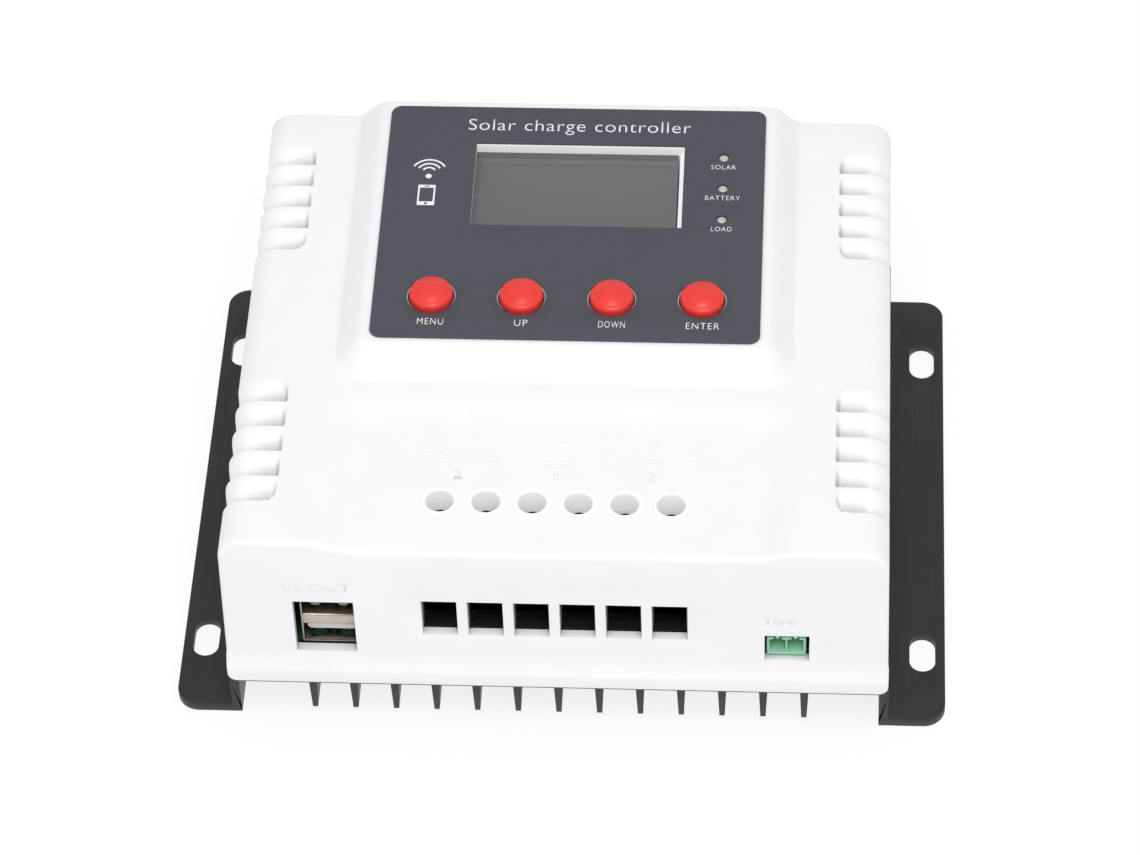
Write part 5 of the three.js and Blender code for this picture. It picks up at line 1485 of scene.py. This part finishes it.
@dataclass
class HeatSink:
    """The finned extrusion with its two slotted mounting wings."""

    wing_thickness: float = 2.3
    wing_corner_r: float = 5.0
    leg_x: float = 74.2
    leg_thickness: float = 2.1
    plate_underside: float = 10.9
    plate_top: float = 14.9
    fins: int = 13
    fin_pitch: float = 9.21
    fin_root: float = 1.9
    fin_tip: float = 1.2
    fin_foot: float = 2.3
    slot_width: float = 5.9
    slot_length: float = 11.0
    slot_x: float = 82.0
    slot_y: float = 45.0
    spacer_r: float = 3.0
    box: Extent = field(default_factory=lambda: Extent.of("heat_sink"))

    def build(self) -> None:
        """Makes the extrusion."""
        low, high = self.box.low, self.box.high
        plate = Workpiece.block(
            "heat_sink", (-self.leg_x, low.y, self.plate_underside), (self.leg_x, high.y, self.plate_top)
        )
        for side in (-1, 1):
            plate.fuse(self.wing(side), self.leg(side))
        for i in range(self.fins):
            plate.fuse(self.fin((i - (self.fins - 1) / 2) * self.fin_pitch))
        for side in (-1, 1):
            for end in (-1, 1):
                plate.cut(self.slot(side * self.slot_x, end * self.slot_y))
        for i in range(1, 5):
            screw = Extent.of(f"housing_screw_{i}").centre
            hole = [(1.9, self.plate_underside - 1), (1.9, self.plate_top + 1)]
            plate.cut(Workpiece.turned("hole", screw, hole, 24))
            fixing = Extent.of(f"board_screw_{i}").centre
            post = [(self.spacer_r, self.plate_top - 0.5), (self.spacer_r, high.z)]
            plate.fuse(Workpiece.turned("spacer", fixing, post, 32))
            thread = [(1.5, self.plate_top + 1), (1.5, high.z + 1)]
            plate.cut(Workpiece.turned("thread", fixing, thread, 24))
        plate.soften(0.22, 2, 40).smooth(35)
        plate.dress(Finish.ALUMINIUM.material(), "heat_sink", stands_for=["heat_sink"])

    def wing(self, side: int) -> Workpiece:
        """A mounting wing with its two outer corners rounded."""
        low, high = self.box.low, self.box.high
        inner, outer = side * (self.leg_x - self.leg_thickness), side * high.x
        wing = Workpiece.block(
            "wing", (min(inner, outer), low.y, 0), (max(inner, outer), high.y, self.wing_thickness)
        )
        return wing.bevel_edges(
            lambda edge: all(abs(v.co.x / MM - outer) < 0.01 for v in edge.verts)
            and abs(edge.verts[0].co.z - edge.verts[1].co.z) > 1 * MM,
            self.wing_corner_r,
            14,
        )

    def leg(self, side: int) -> Workpiece:
        """An upright leg from the plate down to the wing."""
        low, high = self.box.low, self.box.high
        inner, outer = side * (self.leg_x - self.leg_thickness), side * self.leg_x
        left, right = min(inner, outer), max(inner, outer)
        return Workpiece.block("leg", (left, low.y, 0), (right, high.y, self.plate_top))

    def fin(self, x: float) -> Workpiece:
        """A fin that tapers from its root to its foot."""
        low, high = self.box.low, self.box.high
        half = self.fin_root / 2
        fin = Workpiece.block(
            "fin", (x - half, low.y, self.fin_foot), (x + half, high.y, self.plate_underside + 0.5)
        )
        with fin.editing():
            fin.select_faces(lambda face: face.normal.z < -0.9)
            taper = self.fin_tip / self.fin_root
            bpy.ops.transform.resize(value=(taper, 1, 1), center_override=(x * MM, 0, self.fin_foot * MM))
        return fin

    def slot(self, x: float, y: float) -> Workpiece:
        """The cutter of a round-ended slot."""
        half_w, half_l = self.slot_width / 2, self.slot_length / 2
        cutter = Workpiece.block("slot", (x - half_w, y - half_l, -2), (x + half_w, y + half_l, 5))
        return cutter.bevel_edges(
            lambda edge: abs(edge.verts[0].co.z - edge.verts[1].co.z) > 1 * MM, half_w * 0.999, 14
        )


@dataclass
class CrossScrew:
    """A pan-head screw with a cross recess."""

    node: str
    slot: str = "steel_screw"
    head_down: bool = True

    def build(self) -> None:
        """Makes the screw."""
        box = Extent.of(self.node)
        r = box.size.x / 2
        shank = r * 0.47
        head = 2.2 if self.head_down else 1.8
        length = box.size.z
        foot = box.low.z
        levels = [
            (r * 0.55, foot), (r * 0.8, foot + head * 0.16), (r * 0.96, foot + head * 0.45),
            (r, foot + head * 0.75), (r, foot + head - 0.05), (r - 0.1, foot + head),
            (shank, foot + head + 0.02),
        ]
        pitch = 0.6
        turns = int((length - head - 1.4) / pitch)
        for i in range(turns):
            z = foot + head + 0.3 + i * pitch
            levels += [(shank * 0.84, z), (shank, z + pitch * 0.5)]
        levels += [(shank * 0.8, foot + length - 0.8), (0.15, foot + length)]
        screw = Workpiece.turned(self.node, box.centre, levels, 32)
        arm, bar = r * 0.92, 0.36
        for long_x, long_y in ((arm / 2, bar), (bar, arm / 2)):
            low = (box.centre.x - long_x, box.centre.y - long_y, foot - 1)
            high = (box.centre.x + long_x, box.centre.y + long_y, foot + 1.1)
            screw.cut(Workpiece.block("recess", low, high))
        if not self.head_down:
            screw.turn(180, "X", box.centre)
        screw.smooth(40)
        screw.dress(Finish.STEEL.material(), self.slot, stands_for=[self.node])


# ------------------------------------------------------------------ terminals


@dataclass
class TerminalRow:
    """The six power terminals: one black block, with a cage, a contact and a screw in each way."""

    poles = 6

    def build(self) -> None:
        """Makes the block and its metal pieces."""
        block = Workpiece.copy_of("terminal_block", "terminal_block").soften(0.25, 2, 50).smooth(40)
        block.dress(Finish.TERMINAL.material(), "terminal_housing", stands_for=["terminal_block"])
        for i in range(1, self.poles + 1):
            self.screw(i)
            cage = Workpiece.copy_of(f"terminal_cage_{i}", f"terminal_cage_{i}").soften(0.25, 3).smooth()
            cage.dress(Finish.CAGE.material(), "clamp_cage", f"terminal_cage_{i}", [f"terminal_cage_{i}"])
            bar = Workpiece.copy_of(f"contact_bar_{i}", f"contact_bar_{i}").soften(0.2, 2).smooth()
            bar.dress(Finish.BRASS.material(), "contact_bar", stands_for=[f"contact_bar_{i}"])

    def screw(self, i: int) -> None:
        """Makes one slotted clamp screw with its thread."""
        node = f"terminal_screw_{i}"
        box = Extent.of(node)
        top, foot = box.high.z, box.low.z
        r = box.size.y / 2
        shank = 1.9
        head = 2.4
        levels = [(shank - 0.4, foot), (shank, foot + 0.4)]
        pitch = 0.7
        for k in range(int((top - head - foot - 0.8) / pitch)):
            z = foot + 0.5 + k * pitch
            levels += [(shank - 0.32, z + pitch * 0.5), (shank, z + pitch)]
        levels += [
            (shank, top - head), (r - 0.15, top - head + 0.02), (r, top - head + 0.15), (r, top - 0.35),
            (r - 0.12, top - 0.12), (r - 0.35, top),
        ]
        screw = Workpiece.turned(node, box.centre, levels, 40)
        x, y = box.centre.x, box.centre.y
        screw.cut(Workpiece.block("slot", (x - 0.4, y - r - 1, top - 1.2), (x + 0.4, y + r + 1, top + 1)))
        screw.smooth(40)
        screw.dress(Finish.DARK_STEEL.material(), "terminal_screw", node, [node])


# ------------------------------------------------------------------ charging port and sensor header


@dataclass
class ChargingPort:
    """The stacked pair of charging sockets in one folded metal shell."""

    sheet: float = 0.4
    mouth: float = 4.8
    spring_width: float = 2.1
    tongue_width: float = 11.0
    tongue: float = 1.8
    drop: float = 0.9
    shell: Extent = field(default_factory=lambda: Extent.of("port_shell"))
    core: Extent = field(default_factory=lambda: Extent.of("port_core"))

    def mouths(self) -> list[float]:
        """The lower edge of each mouth."""
        partition = (self.shell.size.z - 2 * self.mouth - 2 * self.sheet) / 2
        low = self.shell.low.z + self.sheet + partition / 2
        high = self.shell.high.z - self.sheet - partition / 2 - self.mouth
        return [low, high]

    def build(self) -> None:
        """Makes the shell, its partition, its springs and the core."""
        low, high = self.shell.low, self.shell.high
        body = Workpiece.block("port_shell", low, high)
        body.bevel_edges(lambda edge: abs(edge.verts[0].co.y - edge.verts[1].co.y) > 5 * MM, 0.7, 4)
        inner = self.sheet
        room = (
            (low.x + inner, low.y - 1, low.z + inner),
            (high.x - inner, high.y - 0.5, high.z - inner),
        )
        hollow = Workpiece.block("hollow", *room)
        hollow.bevel_edges(lambda edge: abs(edge.verts[0].co.y - edge.verts[1].co.y) > 5 * MM, 0.4, 4)
        body.cut(hollow)
        lower, upper = self.mouths()
        middle_low, middle_high = lower + self.mouth - self.drop, upper - 0.2
        partition = Workpiece.block(
            "partition",
            (low.x + inner - 0.1, low.y + 0.35, middle_low),
            (high.x - inner + 0.1, high.y - 5, middle_high),
        )
        partition.bevel_edges(
            lambda edge: all(abs(v.co.y / MM - low.y - 0.35) < 0.01 for v in edge.verts)
            and abs(edge.verts[0].co.x - edge.verts[1].co.x) > 1 * MM,
            0.55,
            4,
        )
        body.fuse(partition)
        for z in (low.z, high.z):
            for x in self.spring_places():
                half = self.spring_width / 2 + 0.35
                span = ((x - half, low.y + 1.9, z - 1), (x + half, low.y + 7.5, z + 1))
                body.cut(Workpiece.block("spring_slot", *span))
        body.soften(0.07, 2, 50).smooth(40)
        body.dress(Finish.PORT_METAL.material(), "port_shell", stands_for=["port_shell"])
        self.springs()
        self.build_core()

    def spring_places(self) -> tuple[float, float]:
        """Where the springs stand across the port."""
        centre = self.shell.centre.x
        return (centre - 3.1, centre + 3.1)

    def springs(self) -> None:
        """Makes the rounded spring tabs that stand in the floor's slots and hang from the roof."""
        front = self.shell.low.y
        tabs = []
        for x in self.spring_places():
            floor, roof = self.shell.low.z + 0.1, self.shell.high.z - 0.1
            for y, low, high in ((front + 2.9, floor, floor + 1.3), (front + 0.6, roof - 3.5, roof)):
                half = self.spring_width / 2
                tab = Workpiece.block("tab", (x - half, y, low), (x + half, y + 0.35, high))
                ends = (low, high) if y > front + 2 else (low,)
                tab.bevel_edges(
                    lambda edge: abs(edge.verts[0].co.y - edge.verts[1].co.y) > 0.2 * MM
                    and any(abs(edge.verts[0].co.z / MM - end) < 0.01 for end in ends),
                    0.7,
                    5,
                )
                tabs.append(tab.soften(0.06, 2, 40))
        for y in (front + 1.6, front + 3.1):
            dimple = [(0.22, self.shell.low.z + 0.3), (0.18, self.shell.low.z + 0.5)]
            tabs.append(Workpiece.turned("dimple", (self.shell.centre.x, y), dimple, 16))
        first, *rest = tabs
        first.gather(*rest).smooth(40)
        first.object.name = "port_springs"
        first.dress(Finish.SPRING.material(), "port_shell")

    def build_core(self) -> None:
        """Makes the white moulding with a tongue and four contacts in each mouth."""
        low, high = self.core.low, self.core.high
        back = self.shell.high.y
        core = Workpiece.block("port_core", (low.x, back - 5, low.z), high).soften(0.3, 2)
        front = low.y
        strips = []
        for z, drop in zip(self.mouths(), (self.drop, -0.6)):
            bottom = z + (self.mouth - self.tongue) / 2 - drop
            half = self.tongue_width / 2
            centre = self.shell.centre.x
            tongue = Workpiece.block(
                "tongue", (centre - half, front, bottom), (centre + half, back - 4.5, bottom + self.tongue)
            )
            tongue.bevel_edges(
                lambda edge: abs(edge.verts[0].co.y - edge.verts[1].co.y) > 5 * MM
                and edge.verts[0].co.z / MM < bottom + 0.1,
                0.7,
                1,
            )
            core.fuse(tongue)
            for k in range(4):
                x = centre + (k - 1.5) * 2.3
                span = (x - 0.5, front + 0.8, bottom - 0.12), (x + 0.5, back - 5.5, bottom + 0.1)
                strips.append(Workpiece.block("contact", *span).soften(0.04, 1))
        core.smooth().dress(Finish.TONGUE.material(), "port_core", stands_for=["port_core"])
        first, *rest = strips
        first.gather(*rest).smooth()
        first.object.name = "port_contacts"
        first.dress(Finish.GOLD.material(), "port_core")


@dataclass
class SensorHeader:
    """The green two-way header with a keyed chamber round each pin."""

    wall: float = 0.8
    pitch: float = 3.96
    key_width: float = 1.7
    height: float = 6.0
    pin_drop: float = 1.0
    box: Extent = field(default_factory=lambda: Extent.of("sensor_header"))

    def build(self) -> None:
        """Makes the housing and its pins."""
        low, high = self.box.low, self.box.high
        high = Vector((high.x, high.y, low.z + self.height))
        body = Workpiece.block("sensor_header", low, high)
        centre = self.box.centre.x
        half = (self.pitch - self.wall / 2) / 2
        floor_y = high.y - 2
        for side in (-1, 1):
            x = centre + side * self.pitch / 2
            chamber = Workpiece.block(
                "chamber", (x - half, low.y - 1, low.z + self.wall), (x + half, floor_y, high.z - self.wall)
            )
            chamber.bevel_edges(lambda edge: abs(edge.verts[0].co.y - edge.verts[1].co.y) > 5 * MM, 0.35, 3)
            reach = self.key_width / 2
            key = Workpiece.block(
                "key", (x - reach, low.y - 1, high.z - 2), (x + reach, low.y + 3, high.z + 1)
            )
            pin_z = Extent.of(f"header_pin_{1 if side < 0 else 2}").high.z - 0.5 - self.pin_drop
            reach = 0.62
            bore = Workpiece.block(
                "bore",
                (x - reach, low.y, pin_z - reach),
                (x + reach, high.y + 1, pin_z + reach),
            )
            body.cut(chamber, key, bore)
        body.soften(0.12, 2, 50).smooth(40)
        body.dress(Finish.HEADER.material(), "sensor_header", stands_for=["sensor_header"])
        for i in (1, 2):
            pin = Workpiece.copy_of(f"header_pin_{i}", f"header_pin_{i}").move((0, 0.8, -self.pin_drop))
            pin.soften(0.2, 3).smooth()
            pin.dress(Finish.PIN.material(), "header_pin", stands_for=[f"header_pin_{i}"])


# ------------------------------------------------------------------ boards and what stands on them


@dataclass
class Electronics:
    """The two boards, the parts on them and the cable between them."""

    def build(self) -> None:
        """Makes every inner piece."""
        for node in ("main_board", "display_board"):
            board = Workpiece.copy_of(node, node).soften(0.12, 2).smooth()
            board.dress(Finish.BOARD.material(), "circuit_board", stands_for=[node])
        self.inductor()
        for i in (1, 2):
            self.capacitor(f"capacitor_{i}")
            node = f"power_transistor_{i}"
            case = Workpiece.copy_of(node, node).soften(0.25, 2).smooth()
            case.dress(Finish.EPOXY.material(), "transistor_case", stands_for=[node])
        for node, finish, slot, edge in (
            ("insulating_pad", Finish.PAD, "insulating_pad", 0.15),
            ("radio_module", Finish.TIN, "radio_can", 0.3),
            ("ribbon_cable", Finish.RIBBON, "ribbon", 0.2),
        ):
            piece = Workpiece.copy_of(node, node).soften(edge, 2).smooth()
            piece.dress(finish.material(), slot, stands_for=[node])

    def inductor(self) -> None:
        """Makes the drum core and the coil round its waist."""
        core, coil = Extent.of("inductor_core"), Extent.of("inductor_coil")
        r, foot, top = core.size.x / 2, core.low.z, core.high.z
        flange, waist = 2.5, r * 0.45
        levels = [
            (r - 0.4, foot), (r, foot + 0.4), (r, foot + flange - 0.4), (r - 0.4, foot + flange),
            (waist, foot + flange), (waist, top - flange), (r - 0.4, top - flange), (r, top - flange + 0.4),
            (r, top - 0.4), (r - 0.4, top),
        ]
        drum = Workpiece.turned("inductor_core", core.centre, levels, 64).smooth()
        drum.dress(Finish.FERRITE.material(), "ferrite", stands_for=["inductor_core"])
        inner, outer = waist + 0.3, coil.size.x / 2
        low, high = coil.low.z, coil.high.z
        turns = 12
        pitch = (high - low) / turns
        levels = [(inner, low), (outer - pitch / 2, low)]
        for i in range(turns):
            for k in range(1, 6):
                a = math.pi * k / 5 - math.pi / 2
                radius = outer - pitch / 2 + pitch / 2 * math.cos(a)
                levels.append((radius, low + pitch * (i + 0.5 + math.sin(a) / 2)))
        levels.append((inner, high))
        wound = Workpiece.turned("inductor_coil", coil.centre, levels, 64, hollow=True).smooth(50)
        wound.dress(Finish.WIRE.material(), "copper_wire", stands_for=["inductor_coil"])

    def capacitor(self, node: str) -> None:
        """Makes a sleeved can with its rolled groove and scored top."""
        box = Extent.of(node)
        r, foot, top = box.size.x / 2, box.low.z, box.high.z
        levels = [(r - 0.4, foot), (r, foot + 0.4), (r, foot + 1.9)]
        levels += [
            (r - 0.5 * math.sin(math.pi * k / 6), foot + 2 + 1.6 * k / 6) for k in range(1, 7)
        ]
        levels += [
            (r, top - 0.8), (r - 0.25, top - 0.25), (r - 0.8, top), (r - 1.2, top), (r - 1.3, top - 0.25),
            (0.3, top - 0.25),
        ]
        can = Workpiece.turned(node, box.centre, levels, 56)
        x, y, reach = box.centre.x, box.centre.y, r - 1.8
        for half_x, half_y in ((reach, 0.18), (0.18, reach)):
            span = (x - half_x, y - half_y, top - 0.4), (x + half_x, y + half_y, top + 1)
            can.cut(Workpiece.block("score", *span))
        can.smooth(40).dress(Finish.SLEEVE.material(), "capacitor_sleeve", stands_for=[node])


# ------------------------------------------------------------------ studio


@dataclass
class Studio:
    """A pale floor, soft light from all round and the camera."""

    floor_size: float = 6.0
    camera_place: Point = (0.0542845, -0.709987, 0.826146)
    camera_turn: Point = (41.664, 1.4274, 2.7726)
    lens: float = 146.11

    def build(self) -> None:
        """Makes the floor, the lights and the camera."""
        self.floor()
        self.world()
        self.lamp("key_light", (0.1, -0.8, 1.75), 0.8, 19.0)
        self.camera()

    def floor(self) -> None:
        """A pale floor."""
        deselect_all()
        bpy.ops.mesh.primitive_plane_add(size=self.floor_size, location=(0, 0, -0.0002))
        floor = bpy.context.object
        floor.name = "studio_floor"
        shader = Shader("studio_white", (0.16, 0.16, 0.16), 0.9)
        shader.bsdf.inputs["Specular IOR Level"].default_value = 0.0
        shader.bsdf.inputs["Emission Color"].default_value = (1, 1, 1, 1)
        shader.bsdf.inputs["Emission Strength"].default_value = 0.84
        floor.data.materials.append(shader.material)

    def world(self) -> None:
        """Even white light from all round."""
        world = bpy.data.worlds.new("studio_world")
        world.use_nodes = True
        background = world.node_tree.nodes["Background"]
        background.inputs["Color"].default_value = (1, 1, 1, 1)
        background.inputs["Strength"].default_value = 0.6
        bpy.context.scene.world = world

    def lamp(self, name: str, place: Point, size: float, power: float) -> None:
        """A large soft lamp that points at the controller."""
        deselect_all()
        bpy.ops.object.light_add(type="AREA", location=place)
        lamp = bpy.context.object
        lamp.name = name
        lamp.data.shape = "SQUARE"
        lamp.data.size = size
        lamp.data.energy = power
        lamp.rotation_euler = (Vector((0, 0, 0.04)) - Vector(place)).to_track_quat("-Z", "Y").to_euler()

    def camera(self) -> None:
        """The camera, above and in front."""
        deselect_all()
        turn = tuple(math.radians(angle) for angle in self.camera_turn)
        bpy.ops.object.camera_add(location=self.camera_place, rotation=turn)
        camera = bpy.context.object
        camera.name = "studio_camera"
        camera.data.lens = self.lens
        camera.data.sensor_width = 36
        camera.data.clip_start = 0.01
        camera.data.clip_end = 50
        bpy.context.scene.camera = camera


def main() -> None:
    """Builds the controller's pieces in order, then the studio round them."""
    logging.basicConfig(level=logging.INFO, format="%(name)s %(message)s")
    bpy.context.scene.view_settings.view_transform = "Standard"
    cover = Cover()
    parts = [HeatSink(), cover, MouldedMarks(cover), DisplayLabel(), Screen()]
    parts += [Indicator(name) for name in Indicator.names]
    parts += [PushButton(name) for name in PushButton.names]
    parts += [TerminalRow(), ChargingPort(), SensorHeader(), Electronics()]
    parts += [CrossScrew(f"housing_screw_{i}") for i in range(1, 5)]
    parts += [CrossScrew(f"board_screw_{i}", head_down=False) for i in range(1, 5)]
    for part in parts:
        part.build()
        LOG.info("built %s", type(part).__name__)
    Studio().build()
    deselect_all()


if __name__ == "__main__":
    main()
